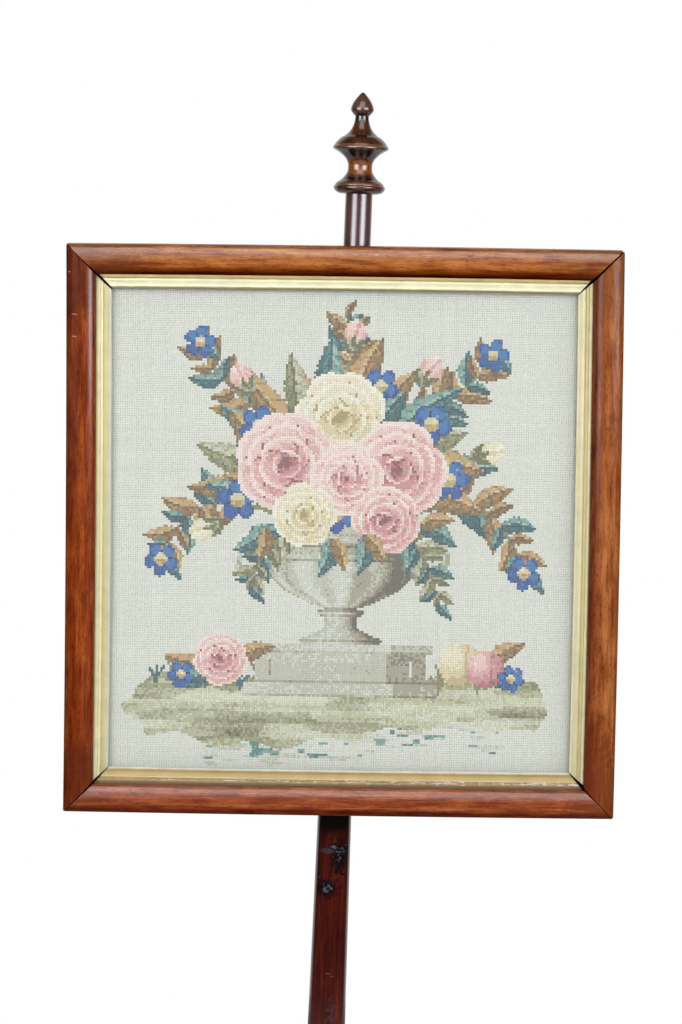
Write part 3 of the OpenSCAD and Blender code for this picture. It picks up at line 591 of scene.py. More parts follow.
column = {"foot": 66.0, "block": 36.0, "blockTop": 158.0, "ring": 41.0, "ringH": 12.0, "coveH": 30.0,
          "bead": 26.5, "beadH": 9.0, "vase": 33.0, "neck": 20.0, "vaseH": 150.0, "cup": 26.0, "cupH": 78.0,
          "vaseLow": 0.75, "vaseFull": 1.5, "vaseSteps": 40,
          "step": 0.8, "socketR": 12.05, "socketLen": 70.3, "segments": 96}


def makeColumn():
    c, s = column, column["step"]
    coveZ = c["blockTop"] + c["ringH"]
    beadZ = coveZ + c["coveH"]
    vaseZ = beadZ + c["beadH"]
    highZ = vaseZ + c["vaseH"]
    cupZ = highZ + c["beadH"]
    top = cupZ + c["cupH"]
    outline = [(0, c["foot"]), (c["block"] - s, c["foot"])]
    outline += bend((c["block"] - s, c["foot"]), (c["block"], c["foot"]), (c["block"], c["foot"] + s), 4)
    outline += [(c["block"], c["blockTop"])]
    outline += bulge(c["ring"], c["blockTop"], coveZ, c["ringH"] / 2)
    outline += bend((c["block"] - s, coveZ), (c["neck"], coveZ + c["coveH"] / 4), (c["neck"], beadZ))
    outline += bulge(c["bead"], beadZ, vaseZ, c["beadH"] / 2)
    swell = [(t, max(sin(pi * t ** c["vaseLow"]), 0) ** c["vaseFull"])
             for t in np.linspace(0, 1, c["vaseSteps"])]
    outline += [(c["neck"] + (c["vase"] - c["neck"]) * out, vaseZ + c["vaseH"] * t) for t, out in swell]
    outline += bulge(c["bead"], highZ, cupZ, c["beadH"] / 2)
    outline += bend((c["neck"], cupZ), (c["neck"] - s, cupZ + c["cupH"] / 2),
                    (c["cup"] - 2 * s, top - c["beadH"]))
    outline += bulge(c["cup"], top - c["beadH"], top - s, c["beadH"] / 2)
    outline += [(c["cup"] - c["beadH"] / 2, top), (c["socketR"], top), (c["socketR"], top - c["socketLen"]),
                (0, top - c["socketLen"])]
    mesh = turnedMesh("turnedColumn", outline, c["segments"], poleAxis)
    addPiece("turnedColumn", mesh, "stand", polishedMahogany("columnMahogany", standLook),
             ["column"])


legReach = 208.0
leg = {"turns": {"leg_front": -90, "leg_right": 30, "leg_left": 150}, "reach": legReach,
       "upper": [(30, 146), (0.52 * legReach, 168), (0.64 * legReach, 23.5), (legReach - 2, 23.5)],
       "lower": [(30, 66), (0.53 * legReach, 110), (0.6 * legReach, 3.1), (legReach - 2, 6.5)],
       "top": 30.0, "ankle": 17.0, "taper": 1.3, "square": 0.75, "rings": 56, "sides": 40, "grainHeight": 0.1,
       "foot": 22.0, "footH": 15.0, "flat": 15.0, "step": 1.0, "footSegments": 64}


def sway(p, t):
    p = [np.array(q, float) for q in p]
    return (1 - t) ** 3 * p[0] + 3 * t * (1 - t) ** 2 * p[1] + 3 * t * t * (1 - t) * p[2] + t ** 3 * p[3]


def makeLegs():
    for node, turn in leg["turns"].items():
        points, faces, sides = [], [], leg["sides"]
        for t in np.linspace(0, 1, leg["rings"]):
            high, low = sway(leg["upper"], t), sway(leg["lower"], t)
            half = (leg["ankle"] + (leg["top"] - leg["ankle"]) * (1 - t) ** leg["taper"]) / 2
            for k in range(sides):
                a = 2 * pi * k / sides
                up, out = (np.sign(v) * abs(v) ** leg["square"] for v in (sin(a), cos(a)))
                middle = (high + low) / 2 + (high - low) / 2 * up
                points.append((middle[0], half * out, middle[1]))
        for i in range(leg["rings"] - 1):
            for k in range(sides):
                a, b = i * sides + k, i * sides + (k + 1) % sides
                faces.append((a, a + sides, b + sides, b))
        faces += [tuple(range(sides))[::-1], tuple(range((leg["rings"] - 1) * sides, leg["rings"] * sides))]
        form = bmesh.new()
        corners = [form.verts.new((x * mm, y * mm, z * mm)) for x, y, z in points]
        for face in faces:
            form.faces.new([corners[i] for i in face])
        wide, tall, step = leg["foot"], leg["footH"], leg["step"]
        outline = [(0, 0), (leg["flat"], 0)]
        outline += bend((leg["flat"], 0), (wide + step, 0), (wide, tall / 2))
        outline += bend((wide, tall / 2), (wide, tall), (wide / 2, tall + step)) + [(0, tall + step)]
        form.from_mesh(turnedMesh("padFoot", outline, leg["footSegments"], (leg["reach"], 0, 0)))
        mesh = formMesh(node + "Cabriole", form, Matrix.Translation((0, poleAxis[1] * mm, 0))
                        @ Matrix.Rotation(radians(turn), 4, "Z"))
        look = dict(standLook, turn=(0, 0, radians(turn)), centre=(0, poleAxis[1] * mm, leg["grainHeight"]))
        addPiece(node + "Cabriole", smoothMesh(mesh, 50), "stand",
                 polishedMahogany(node + "Mahogany", look), [node])


makePole()
makeFinial()
makeColumn()
makeLegs()
dressNode("spider_plate", "stand", iron, 0.5 * mm)
print("turned work and legs made")


# Panel: drawn square about its middle, its sides a little bowed, then hung out of true on its brackets

panel = {"width": 470.0, "height": 484.0, "lean": 1.48, "place": (-3.3, -10.0, 1131.0),
         "bow": {"bottom": 0.6, "left": -0.85, "top": 0.7, "right": 0.9}}
panelCentre = tuple(c * mm for c in panel["place"])
panelLean = radians(-panel["lean"])
panelHang = Matrix.Translation(panelCentre) @ Matrix.Rotation(panelLean, 4, "Y")
panelTurn = {"x": (0, panelLean, 0), "z": (0, panelLean - pi / 2, 0)}
sides = ["bottom", "left", "top", "right"]


# Corners clockwise from the lower left: how far the mitres of rails and slips have opened at their outer and
# their sight edge, and how round the outer point has worn
corners = [{"rail": (0.5, 1.7), "slip": (2.9, 0.4), "round": 1.5},
           {"rail": (0.2, 1.7), "slip": (2.7, 1.5), "round": 2.5},
           {"rail": (1.0, 2.2), "slip": (3.2, 0.6), "round": 4.0},
           {"rail": (0.4, 1.2), "slip": (4.4, 0.6), "round": 2.0}]
nearEnd = [0, 0.7, 1.6, 2.8, 4.5, 7.0]  # closer stations towards a mitre
waveLength = 70  # of the hand-planed unevenness along a moulding, with two finer ones on it


def mitredLength(name, kind, side, outline, size):
    # outline runs round the section: inwards from the outer edge, and to the back, where the mitres close
    i = sides.index(side)
    inset, width = size["inset"], size["width"]
    length = (panel["width"] if i % 2 == 0 else panel["height"]) - 2 * inset
    off = (panel["height"] if i % 2 == 0 else panel["width"]) / 2
    back = max(y for u, y, free in outline)
    phases = np.random.default_rng(size["seed"] + i).uniform(0, 2 * pi, (3, 2))
    form = bmesh.new()
    across, run = (form.verts.layers.float.new(key) for key in ("across", "along"))
    mitreShade = form.faces.layers.float.new("mitreShade")
    ends = [1 - 2 * d / length for d in nearEnd]
    rows = []
    for t in [-e for e in ends[:-1]] + list(np.linspace(-ends[-1], ends[-1], size["stations"])) + ends[-2::-1]:
        row = []
        corner = corners[i] if t < 0 else corners[i - 1]
        for u, y, free in outline:
            heel, sight = corner[kind]
            opened = (heel + (sight - heel) * (u / width) ** size["wedge"]) / sqrt(2) * (y < back)
            x = t * (length / 2 - u - opened)
            lift = sum(size["waves"] / (k + 1) * sin(x / (waveLength / (k + 1)) + phases[k, 0]
                                                     + u / width * phases[k, 1]) for k in range(3)) * free
            worn = corner["round"] if inset == 0 else 0
            gone, deep = worn - (length / 2 - abs(x)), worn - u
            if gone > 0 and deep > 0 and hypot(gone, deep) > worn:
                gone, deep = (c * worn / hypot(gone, deep) for c in (gone, deep))
                x, u = np.sign(x) * (length / 2 - worn + gone), worn - deep
            bowed = panel["bow"][side] * (1 - t * t)
            vert = form.verts.new((x * mm, (y + lift) * mm, (u + inset - off - bowed) * mm))
            vert[across], vert[run] = u / width, (t + 1) / 2
            row.append(vert)
        rows.append(row)
    count = len(outline)
    for a, b in zip(rows, rows[1:]):
        for k in range(count):
            j = (k + 1) % count
            form.faces.new((a[k], a[j], b[j], b[k]))
    # the end faces of each length, inside the open mitres, are marked for painted shade
    for row in (rows[0][::-1], rows[-1]):
        form.faces.new(row)[mitreShade] = 1.0
    return smoothMesh(formMesh(name, form, panelHang @ Matrix.Rotation(pi / 2 * i, 4, "Y")))


rail = {"width": 26.0, "inset": 0.0, "rise": 10.0, "fullness": 2.5, "depth": 34.0, "lip": 2.0, "rebate": 7.0,
        "waves": 0.07, "edge": 0.35, "stations": 61, "wedge": 2.2, "seed": 20,
        # fullness, place of the crest and trimmed width of the worn ones
        "worn": {"bottom": (2.1, 0.44, 24.4), "left": (2.5, 0.5, 25.2)},
        "nodes": {"bottom": "frame_bottom_rail", "left": "frame_left_stile", "top": "frame_top_rail",
                  "right": "frame_right_stile"}}
railLook = {
    "grainMm": {"figure": (70, 4, 3.0, 0.6), "fibre": (22, 1.1, 3.0, 0.3), "mottle": (26, 8, 3.0, 0.5),
                "pores": (5, 0.8, 2.0, 0.0)},  # pores drawn wider than real ones, to show
    "poreFrom": 0.57, "poreDark": 0.55, "poreTone": "#3a130a", "roughness": (0.34, 0.52), "bump": 0.12,
    "coat": 1.0, "coatIor": 1.7,
    "nicks": {"apartMm": 7, "sizeMm": 0.8, "share": 0.06, "tones": ("#a5836a", "#b89a80")},
}
railTones = {
    "bottom": ["#511d0e", "#79341a", "#974c26", "#b16338", "#c8865a"],
    "left": ["#4c1a09", "#722d12", "#8e4019", "#a45421", "#b97034"],
    "top": ["#562210", "#84431f", "#a6632f", "#ba7940", "#ca9058"],
    "right": ["#56220f", "#81401e", "#9d5b2e", "#b06e3c", "#c38652"],
}
# how dirt and painted shade darken each moulding from its outer to its sight edge; the lighter span on the
# bottom rail, from 0.25 to 0.43, is a painted reflection of the floor
railDirtAndShade = {
    "bottom": [(0, "#b09c90"), (0.1, "#a88c72"), (0.17, "#b0947a"), (0.25, "#dccebc"), (0.31, "#ffffff"),
               (0.37, "#fffff6"), (0.43, "#f4edd8"), (0.6, "#f4ede4"), (0.82, "#ffffff"), (1, "#ffffff")],
    "left": [(0, "#cecece"), (0.1, "#dadada"), (0.2, "#d4cac4"), (0.32, "#dccdc2"), (0.44, "#eee6e0"),
             (0.58, "#fafafa"), (0.74, "#ffffff"), (0.88, "#eeeeee"), (1, "#dcdcdc")],
    "top": [(0, "#f3f3f3"), (0.08, "#ffffff"), (0.5, "#ffffff"), (0.63, "#f8f8f6"), (0.7, "#eee2d8"),
            (0.76, "#ceb096"), (0.83, "#a4805e"), (0.9, "#7c5434"), (1, "#543218")],
    "right": [(0, "#ededed"), (0.1, "#ffffff"), (0.54, "#ffffff"), (0.63, "#ebe1e5"), (0.7, "#e3d3da"),
              (0.76, "#dac5cb"), (0.84, "#cbb1af"), (1, "#adadad")],
}
# roughness of the polish, and where across the moulding its weight changes, from what to what
railPolish = {"bottom": (0.2, (0.3, 0.55), (0.06, 0.95)), "left": (0.15, (0.5, 0.62), (0.02, 0.35)),
              "top": (0.22, (0.33, 0.62), (1.0, 0.0)), "right": (0.15, (0.0, 1.0), (0.12, 0.12))}
# corners darkened by dirt, and the lower end of the right stile also by painted shade: middle, reach in mm,
# weight and tone on each moulding
cornerGrimeAndShade = {
    "bottom": [((0.226, 0.898), (36, 30), 0.4, "#4e2010"), ((-0.222, 0.886), (40, 30), 0.35, "#4e2010")],
    "left": [((-0.238, 1.35), (34, 66), 0.55, "#471c12"), ((-0.217, 0.9), (34, 66), 0.55, "#471c12")],
    "top": [((-0.225, 1.362), (70, 34), 0.45, "#5a2e1a"), ((0.212, 1.374), (60, 34), 0.42, "#5a2e1a")],
    "right": [((0.222, 0.9), (24, 100), 0.72, "#642813"), ((0.22, 1.365), (34, 52), 0.42, "#5a2a18")],
}
railMarks = {side: [((x, -0.005, z), (wide, 40, high), 0.8, weight, tone, 0)
                    for (x, z), (wide, high), weight, tone in spots] for side, spots in cornerGrimeAndShade.items()}
# three scratches: place and length
scratches = [(-0.2348, 1.3073, 3.4), (-0.2345, 1.2887, 3.0), (-0.2405, 1.3428, 1.6)]
railMarks["left"] += [((x, -0.008, z), (long, 8, 0.6), 0.5, 0.4, "#d0b09c", 0) for x, z, long in scratches]
railStops = (0.3, 0.43, 0.52, 0.61, 0.74)  # where the tones lie in the figure
railCuts = (0.31, 0.17, 0)  # how far apart in the plank the lengths were cut


def makeRails():
    r = rail
    lip = r["rise"] + r["lip"]
    for k, side in enumerate(sides):
        n, crest, width = r["worn"].get(side, (r["fullness"], 0.5, r["width"]))
        front = [(r["width"] * (crest + (crest if q < 0 else 1 - crest) * q),
                  r["rise"] * (1 - (1 - abs(q) ** n) ** (1 / n)), 1)
                 for q in np.sin(np.linspace(-pi / 2, pi / 2, 33))]
        front = [point for point in front if point[0] <= width]
        rest = [(width, lip, 0), (r["width"] - r["rebate"], lip, 0), (r["width"] - r["rebate"], r["depth"], 0),
                (0, r["depth"], 0)]
        mesh = mitredLength(side + "Rail", "rail", side, front + rest, r)
        look = dict(railLook, turn=panelTurn["xz"[k % 2]], marks=railMarks[side], edges=railDirtAndShade[side],
                    coatRoughness=railPolish[side][0], rubbed=railPolish[side][1:],
                    tones=list(zip(railStops, railTones[side])),
                    centre=tuple(c + k * d for c, d in zip(panelCentre, railCuts)))
        piece = addPiece(side + "Rail", mesh, "panel",
                         polishedMahogany(side + "RailMahogany", look), [r["nodes"][side]])
        softEdges(piece, r["edge"] * mm)


slip = {"width": 18.5, "inset": 19.5, "front": 12.0, "thick": 5.0, "hidden": 6.5, "fillet": 2.0, "groove": 0.6,
        "bead": 2.6, "fall": 2.6, "edgeFlat": 1.7, "waves": 0.03, "edge": 0.18, "stations": 41,
        "wedge": 1.0, "seed": 40}
slipLook = {
    "bole": "#8a5a34", "gesso": "#dcd6c4", "metal": 0.15, "roughness": (0.4, 0.55), "chipFrom": 0.62,
    "chipRise": 0.0, "chipRim": (0, 0.04), "boleRim": (-0.05, -0.01), "unsteady": 0.05,
    "chipZone": [(0.33, "#e0e0e0"), (0.5, "#b0b0b0"), (0.7, "#8c8c8c")],
}
# gold, dirt, painted sheen and painted shade across each slip, from its outer to its sight edge; the top slip's
# bright bands are a painted reflection, its dark sight edge a painted shadow
slipGoldDirtAndLight = {
    "bottom": [(0.26, "#524b35"), (0.35, "#6a5839"), (0.42, "#a08557"), (0.5, "#beaf7a"), (0.56, "#9d874e"),
               (0.6, "#cebc8e"), (0.66, "#b9a36c"), (0.77, "#ab8f53"), (0.86, "#957939"), (0.92, "#ab997c"),
               (0.98, "#dcd8c2")],
    "left": [(0.34, "#dac382"), (0.37, "#f3f3d4"), (0.44, "#f3eeb9"), (0.5, "#e2d9a5"), (0.57, "#ece4b9"),
             (0.64, "#c1b379"), (0.72, "#bdb37d"), (0.82, "#c0b886"), (0.92, "#bfb8a1"), (1, "#b8b6a8")],
    "top": [(0.34, "#a79669"), (0.38, "#d7c283"), (0.44, "#d6b970"), (0.5, "#bb9a5c"), (0.57, "#f3f2d0"),
            (0.64, "#f3f2c5"), (0.71, "#f3e8b5"), (0.78, "#f0eccb"), (0.86, "#f3edc6"), (0.91, "#857848"),
            (1, "#625930")],
    "right": [(0.34, "#957e53"), (0.37, "#ceb588"), (0.43, "#f3f3d4"), (0.5, "#d4c484"), (0.57, "#d0bf83"),
              (0.64, "#b5a56d"), (0.71, "#ccc196"), (0.8, "#c7bd8f"), (0.9, "#c1bb9e"), (1, "#e0d59b")],
}
# where a slip is more worn than the others
slipWear = {
    "bottom": {"chipFrom": 0.545, "chipRise": 0.09, "roughness": (0.45, 0.65), "metal": 0.1,
               "chipZone": [(0.35, "#d8d8d8"), (0.5, "#ffffff"), (0.58, "#e8e8e8"), (0.68, "#9c9c9c")]},
}


def makeSlips():
    s = slip
    grooveAt = s["hidden"] + s["fillet"]
    beadAt = grooveAt + s["groove"]
    hollowAt = beadAt + s["bead"]
    edgeAt = s["width"] - s["edgeFlat"]
    outline = [(0, s["thick"]), (0, 0), (grooveAt, 0), (grooveAt, s["groove"])]
    outline += [(beadAt + s["bead"] / 2 * (1 - cos(a)), s["groove"] * (1 - sin(a)))
                for a in np.linspace(0, pi, 13)]
    outline += bend((hollowAt, s["groove"] + 0.01), (hollowAt + s["edgeFlat"], s["fall"]),
                    (edgeAt, s["fall"]), 12)[1:]
    outline += [(s["width"], s["fall"]), (s["width"], s["thick"])]
    outline = [(u, y + s["front"], 1 if 0 < u < s["width"] else 0) for u, y in outline]
    for k, side in enumerate(sides):
        mesh = mitredLength(side + "Slip", "slip", side, outline, s)
        look = dict(slipLook, turn=panelTurn["xz"[k % 2]], bands=slipGoldDirtAndLight[side], **slipWear.get(side, {}))
        piece = addPiece(side + "Slip", mesh, "panel", waterGilding(side + "SlipGilding", look),
                         ["slip_" + side])
        softEdges(piece, s["edge"] * mm, angle=40)


makeRails()
makeSlips()
dressNode("glass", "panel", windowGlass(), 0)
for k, side in enumerate(sides):
    deal = agedDeal(side + "StrainerDeal", panelTurn["xz"[k % 2]])
    dressNode("strainer_" + side, "panel", deal, 0.5 * mm)
dressNode("backboard", "panel", agedDeal("backboardDeal", panelTurn["z"]), 0.3 * mm)
print("frame, slips and back made")


# Needlework: an urn of flowers on a grassy bank, charted in stitches counted from the lower left
needlework = {
    "columns": 204, "rows": 210, "pitch": 1.97, "share": 0.93, "height": 0.5, "depth": 20.0, "seed": 11,
    "canvas": (429.4, 443.4), "wrap": 8.2, "cloth": 0.6, "corner": 1.2, "cornerEase": 0.3,
    "ground": "#d6d6c8", "edgeSteps": 25,
    "jitter": 0.012, "dye": 0.015, "banding": 0.012, "uneven": 0.02, "tilt": (0.03, 0.05, 0.03),
    "drift": 0.12, "driftOver": (31, 37),  # how far, in stitches, the threads wander, and over how many
    # painted shade of each slip on the wool beside it, with some dust: how much it darkens there, and how far
    # it reaches
    "dustAndShade": {"bottom": (0.14, 12.0), "left": (0.09, 5.0), "top": (0.45, 1.3), "right": (0.24, 8.0)},
    # each wool in shades, dark to light
    "wools": {
        "tan": ["#6d5430", "#8c6d40", "#a98652", "#bf9e69", "#d0b588"],
        "teal": ["#2b4a4d", "#3a6266", "#54807d", "#7c9d92", "#a3b6a4"],
        "olive": ["#66643f", "#83805a", "#9c9a76", "#b3b292", "#c6c7ab"],
        "stone": ["#655c4a", "#857c68", "#a39d86", "#bcbaa5", "#cccdbe", "#d9dacd"],
        "pink": ["#8d5455", "#ae7171", "#c88c8a", "#d8a79f", "#e4c3b8", "#ebd8cd"],
        "cream": ["#a8925f", "#c2ad7c", "#d5c69b", "#e2d8b9", "#e9e3cd"],
        "blue": ["#1b3660", "#255292", "#3a6ea6", "#83a5c3"],
        "straw": ["#8b8459", "#a39e76", "#b9b996", "#cac9aa", "#d5d5bd"],
    },
}


def chartUrn():
    columns, rows = needlework["columns"], needlework["rows"]
    rng = np.random.default_rng(needlework["seed"])
    x, y = np.meshgrid(np.arange(columns) + 0.5, np.arange(rows) + 0.5)
    speckle = rng.uniform(-1, 1, x.shape)
    chart = np.tile(np.array(linear(needlework["ground"])[:3]), (rows, columns, 1))

    def work(mask, tone, wool, grain=0.07):  # tone 0 to 1 picks the shade, with a worked edge between two
        shades = np.array([linear(code)[:3] for code in needlework["wools"][wool]])
        level = np.clip((tone + grain * speckle) * len(shades), 0, len(shades) - 1).astype(int)
        chart[mask] = shades[level[mask]]

    def cloud(w, h):  # smooth noise, its patches w by h stitches
        grid = rng.uniform(0, 1, (int(rows / h) + 3, int(columns / w) + 3))
        i, j = (y / h).astype(int), (x / w).astype(int)
        s, t = y / h - i, x / w - j
        s, t = s * s * (3 - 2 * s), t * t * (3 - 2 * t)
        low, high = (grid[k, j] * (1 - t) + grid[k, j + 1] * t for k in (i, i + 1))
        return low * (1 - s) + high * s

    def turned(px, py, a):  # distances along and across a line from a point
        return (x - px) * cos(a) + (y - py) * sin(a), (y - py) * cos(a) - (x - px) * sin(a)

    def leaf(px, py, turn, length, width, wool, light=0.0):
        a = radians(turn)
        run, side = turned(px, py, a)
        run = run / length
        inside = np.clip(run, 0, 1)
        side = side - 0.16 * width * np.sin(pi * inside)
        teeth = 1 - 0.16 * ((run * length / 3.4) % 1)
        half = width / 2 * np.sin(pi * inside ** 0.75) ** 0.8 * teeth
        body = (run > 0) & (run < 1) & (np.abs(side) < half)
        share = side / np.maximum(half, 0.5)
        lit = np.sign(share * cos(a)) * (np.abs(share) > 0.12)
        tone = 0.56 + light + 0.2 * lit - 0.24 * share ** 2 + 0.12 * run
        tone = tone - 0.2 * ((run * length + np.abs(side) * 0.8) % 4.6 < 1.1)
        work(body, tone, wool)
        work(body & (np.abs(side) < 0.6), 0.2 + light, wool)

    def stem(points, wool="olive", width=0.85):
        for t in np.linspace(0, 1, 110):
            p = sway(points, t)
            work(np.hypot(x - p[0], y - p[1]) < width, 0.3, wool)

    def rose(px, py, r, wool, turn, light=0.0):
        # petals from the outside in, each pale at its curled rim and dark at its foot
        rings = ((7, 0.62, 0.46), (6, 0.42, 0.42), (5, 0.22, 0.36), (3, 0.08, 0.22))
        for ring, (count, out, size) in enumerate(rings):
            for k in range(count):
                a = turn + 2.4 * ring + 2 * pi * k / count + 0.2 * sin(5 * k + px)
                p, q = turned(px + out * r * cos(a), py + out * r * sin(a), a)
                p, q = p / (size * r), q / (1.15 * size * r)
                reach = p * p + q * q
                tone = 0.5 + light + 0.3 * p - 0.1 * q * q + 0.1 * (cos(a) * -0.5 + sin(a) * 0.8) - 0.03 * ring
                tone = np.where((reach > 0.6) & (p > -0.35), tone + 0.17, tone)
                tone = np.where((reach > 0.86) & (p < 0.1), 0.12 + light, tone)
                work(reach < 1, tone, wool)
        work(np.hypot(x - px, y - py) < 0.1 * r, 0.1, wool)

    def bud(px, py, turn, size, wool):
        a = radians(turn)
        p, q = turned(px, py, a)
        p, q = p / size, q / (0.62 * size)
        body = (p - 0.8) ** 2 + q ** 2 < 1 - 0.5 * np.clip(p - 0.8, 0, 1)
        work(body, 0.72 - 0.3 * np.abs(q) + 0.15 * p - 0.3 * (np.abs(q + 0.3 * p - 0.2) < 0.16), wool)
        foot = px - 0.3 * size * cos(a), py - 0.3 * size * sin(a)
        for s in (-34, 0, 34):
            leaf(*foot, turn + s, 1.1 * size, 0.5 * size, "olive", -0.1)

    def bloom(px, py, r, petals=5):
        rho, theta = np.hypot(x - px, y - py) / r, np.arctan2(y - py, x - px)
        lobes = np.abs(np.cos(petals / 2 * theta + 0.7 * px)) ** 0.5
        tone = 0.3 + 0.26 * lobes + 0.14 * np.sin(theta + 0.6)
        tone = np.where(rho > 0.8, 0.3, tone) - 0.4 * (lobes < 0.45)
        work(rho < 0.5 + 0.5 * lobes, tone, "blue")
        work(rho < 0.34, 0.55, "cream")
        work((rho < 0.34) & (y < py), 0.2, "cream")

    def spray(points, wool, size, flowers=False):
        stem(points)
        for k, t in enumerate((0.3, 0.44, 0.57, 0.69, 0.8, 0.9, 1.0)):
            p, q = sway(points, t), sway(points, min(t, 0.98) + 0.02)
            way = np.degrees(np.arctan2(q[1] - p[1], q[0] - p[0]))
            long = size * (1.1 - 0.5 * t)
            hand = 1 if k % 2 else -1
            leaf(*p, way + 46 * hand, long, 0.5 * long, wool if k % 3 else "teal")
            leaf(*p, way - 58 * hand, 0.7 * long, 0.36 * long, "teal" if k % 2 else wool, -0.06)
        if flowers:
            bloom(*sway(points, 1.0), 0.36 * size)

    # bank: long strokes of grass and earth, thinning out at the ends
    top = 40 + 5 * np.exp(-((x - 110) / 46) ** 2) + 2.4 * np.sin(x * 0.083 + 0.4) + 1.3 * np.sin(x * 0.31)
    low = 16 + 5 * np.sin(x * 0.037 + 2.2) + 1.8 * np.sin(x * 0.21 + 1)
    ends = 91 - 0.1 * np.abs(y - 29) ** 1.7 + 7 * (cloud(20, 4) - 0.5)
    strokes = 0.55 * cloud(30, 3.2) + 0.3 * cloud(11, 2) + 0.15 * cloud(60, 9)
    bank = (y < top) & (y > low) & (np.abs(x - 101) < ends)
    work(bank, 0.1 + 0.95 * strokes, "straw", 0.14)
    work(bank & (cloud(26, 4) > 0.56), 0.1 + 0.9 * strokes, "olive", 0.14)
    work(bank & (y > top - 3.2), 0.2 + 0.5 * strokes, "olive", 0.1)
    fringe = (y < low) & (y > low - 9) & (np.abs(x - 108) < 66)
    work(fringe & (cloud(9, 1.6) > 0.58), 0.4 + 0.6 * strokes, "stone", 0.1)
    work(fringe & (cloud(5, 1.8) > 0.74), 0.3 + 0.6 * strokes, "teal", 0.1)
    for k in range(26):
        px = 22 + 6.3 * k + 3 * sin(k * 2.7)
        for s in (-0.5, 0.1, 0.6):
            foot = 38 + 3 * sin(k * 1.9)
            stem([(px, foot), (px + s, foot + 3), (px + 3 * s, foot + 5), (px + 6 * s, foot + 7 + 2 * sin(k))],
                 "olive" if k % 3 else "teal", 0.6)

    # plinth and urn of pale stone, lit from the left
    for y0, y1, half, step in ((33, 39, 42, 0), (39, 52, 37, -0.06), (52, 56, 40, 0.06)):
        block = (y > y0) & (y < y1) & (np.abs(x - 102) < half)
        tone = 0.66 + step - 0.22 * (x > 102 + 0.55 * half) - 0.16 * (y < y0 + 1.2)
        work(block, tone + 0.12 * (cloud(16, 5) - 0.5), "stone")
    field = (y > 41.5) & (y < 49.5) & (np.abs(x - 102) < 31)
    work(field & ((y > 48.5) | (x < 72.2)), 0.36, "stone")
    work(field & ((y < 42.5) | (x > 131.8)), 0.92, "stone")
    profile = [(56, 17), (58, 18), (60, 13), (63, 7.5), (67, 6.5), (69, 10), (70.5, 10), (71.5, 7.5), (74, 14),
               (79, 24), (85, 30.5), (91, 32), (95, 29), (98, 26.5), (100, 29), (103, 36), (106, 38), (108, 37)]
    half = np.interp(y, [p[0] for p in profile], [p[1] for p in profile], left=0, right=0)
    urn = (np.abs(x - 102) < half) & (y > 56)
    u = (x - 102) / np.maximum(half, 1)
    tone = 0.7 - 0.42 * (u + 0.35) ** 2 + 0.05 * (cloud(7, 7) - 0.5)
    flutes = (y > 73) & (y < 92)
    tone = np.where(flutes, tone + 0.13 * np.cos(11 * np.arcsin(np.clip(u, -1, 1))), tone)
    for line, drop in ((57.4, 0.2), (68.6, 0.2), (71, 0.3), (92.4, 0.3), (94, -0.1), (99, 0.25), (103.6, 0.15)):
        tone = np.where(np.abs(y - line) < 0.7, tone - drop, tone)
    work(urn, tone - 0.15 * ((y > 93) & (y < 99)), "stone")
    for s in (-1, 1):
        ring = np.hypot((x - 102 - s * 37) / 0.85, y - 94)
        handle = (ring < 11.5) & (ring > 7.6) & (s * (x - 102) > 30)
        work(handle, 0.62 + 0.03 * (y - 94) - 0.16 * s * (ring > 9.5), "stone")

    # sprays and leaves behind the flowers
    spray([(74, 112), (50, 122), (34, 118), (24, 92)], "tan", 21, True)
    spray([(132, 112), (156, 124), (172, 116), (181, 88)], "tan", 21, True)
    spray([(88, 140), (66, 158), (48, 166), (40, 186)], "tan", 20, True)
    spray([(122, 142), (140, 160), (156, 164), (166, 182)], "tan", 20, True)
    spray([(102, 150), (100, 168), (108, 182), (103, 198)], "tan", 19)
    spray([(86, 112), (78, 104), (66, 98), (62, 80)], "olive", 16)
    spray([(122, 110), (132, 102), (142, 94), (143, 74)], "olive", 16)
    for k, turn in enumerate(range(-14, 200, 12)):
        a = radians(turn)
        leaf(102 + 26 * cos(a), 128 + 22 * sin(a), turn + 12 * sin(k * 2.1), 37 + 5 * sin(k * 1.7),
             15 + 2 * sin(k), ("tan", "teal", "tan", "olive")[k % 4], 0.05 * sin(k * 3.1))
    for k, turn in enumerate(range(0, 190, 17)):
        a = radians(turn)
        leaf(102 + 18 * cos(a), 126 + 16 * sin(a), turn - 14 * sin(k * 1.3), 32, 14,
             ("teal", "olive", "tan")[k % 3], -0.08)

    # flowers
    for blue in ((57, 118, 9), (148, 128, 9, 6), (66, 150, 9, 6), (140, 152, 9), (100, 112, 8), (118, 168, 8)):
        bloom(*blue)
    rose(101, 154, 19, "cream", 0.4)
    rose(126, 132, 20, "pink", 1.1)
    rose(78, 134, 21, "pink", 0.2, 0.03)
    rose(104, 128, 15, "pink", 2.0, 0.12)
    rose(86, 112, 13, "cream", 0.9)
    rose(121, 110, 14, "pink", 0.5, -0.04)
    for px, py, turn, wool in ((62, 166, 128, "pink"), (136, 170, 60, "pink"), (48, 108, 205, "cream"),
                               (160, 138, 20, "cream"), (106, 184, 84, "pink")):
        bud(px, py, turn, 8, wool)
    for px, py, turn in ((70, 106, 214), (112, 104, 262), (136, 108, -30), (98, 102, 250)):
        leaf(px, py, turn, 18, 9, "teal")
        leaf(px, py, turn + 40, 15, 8, "tan")

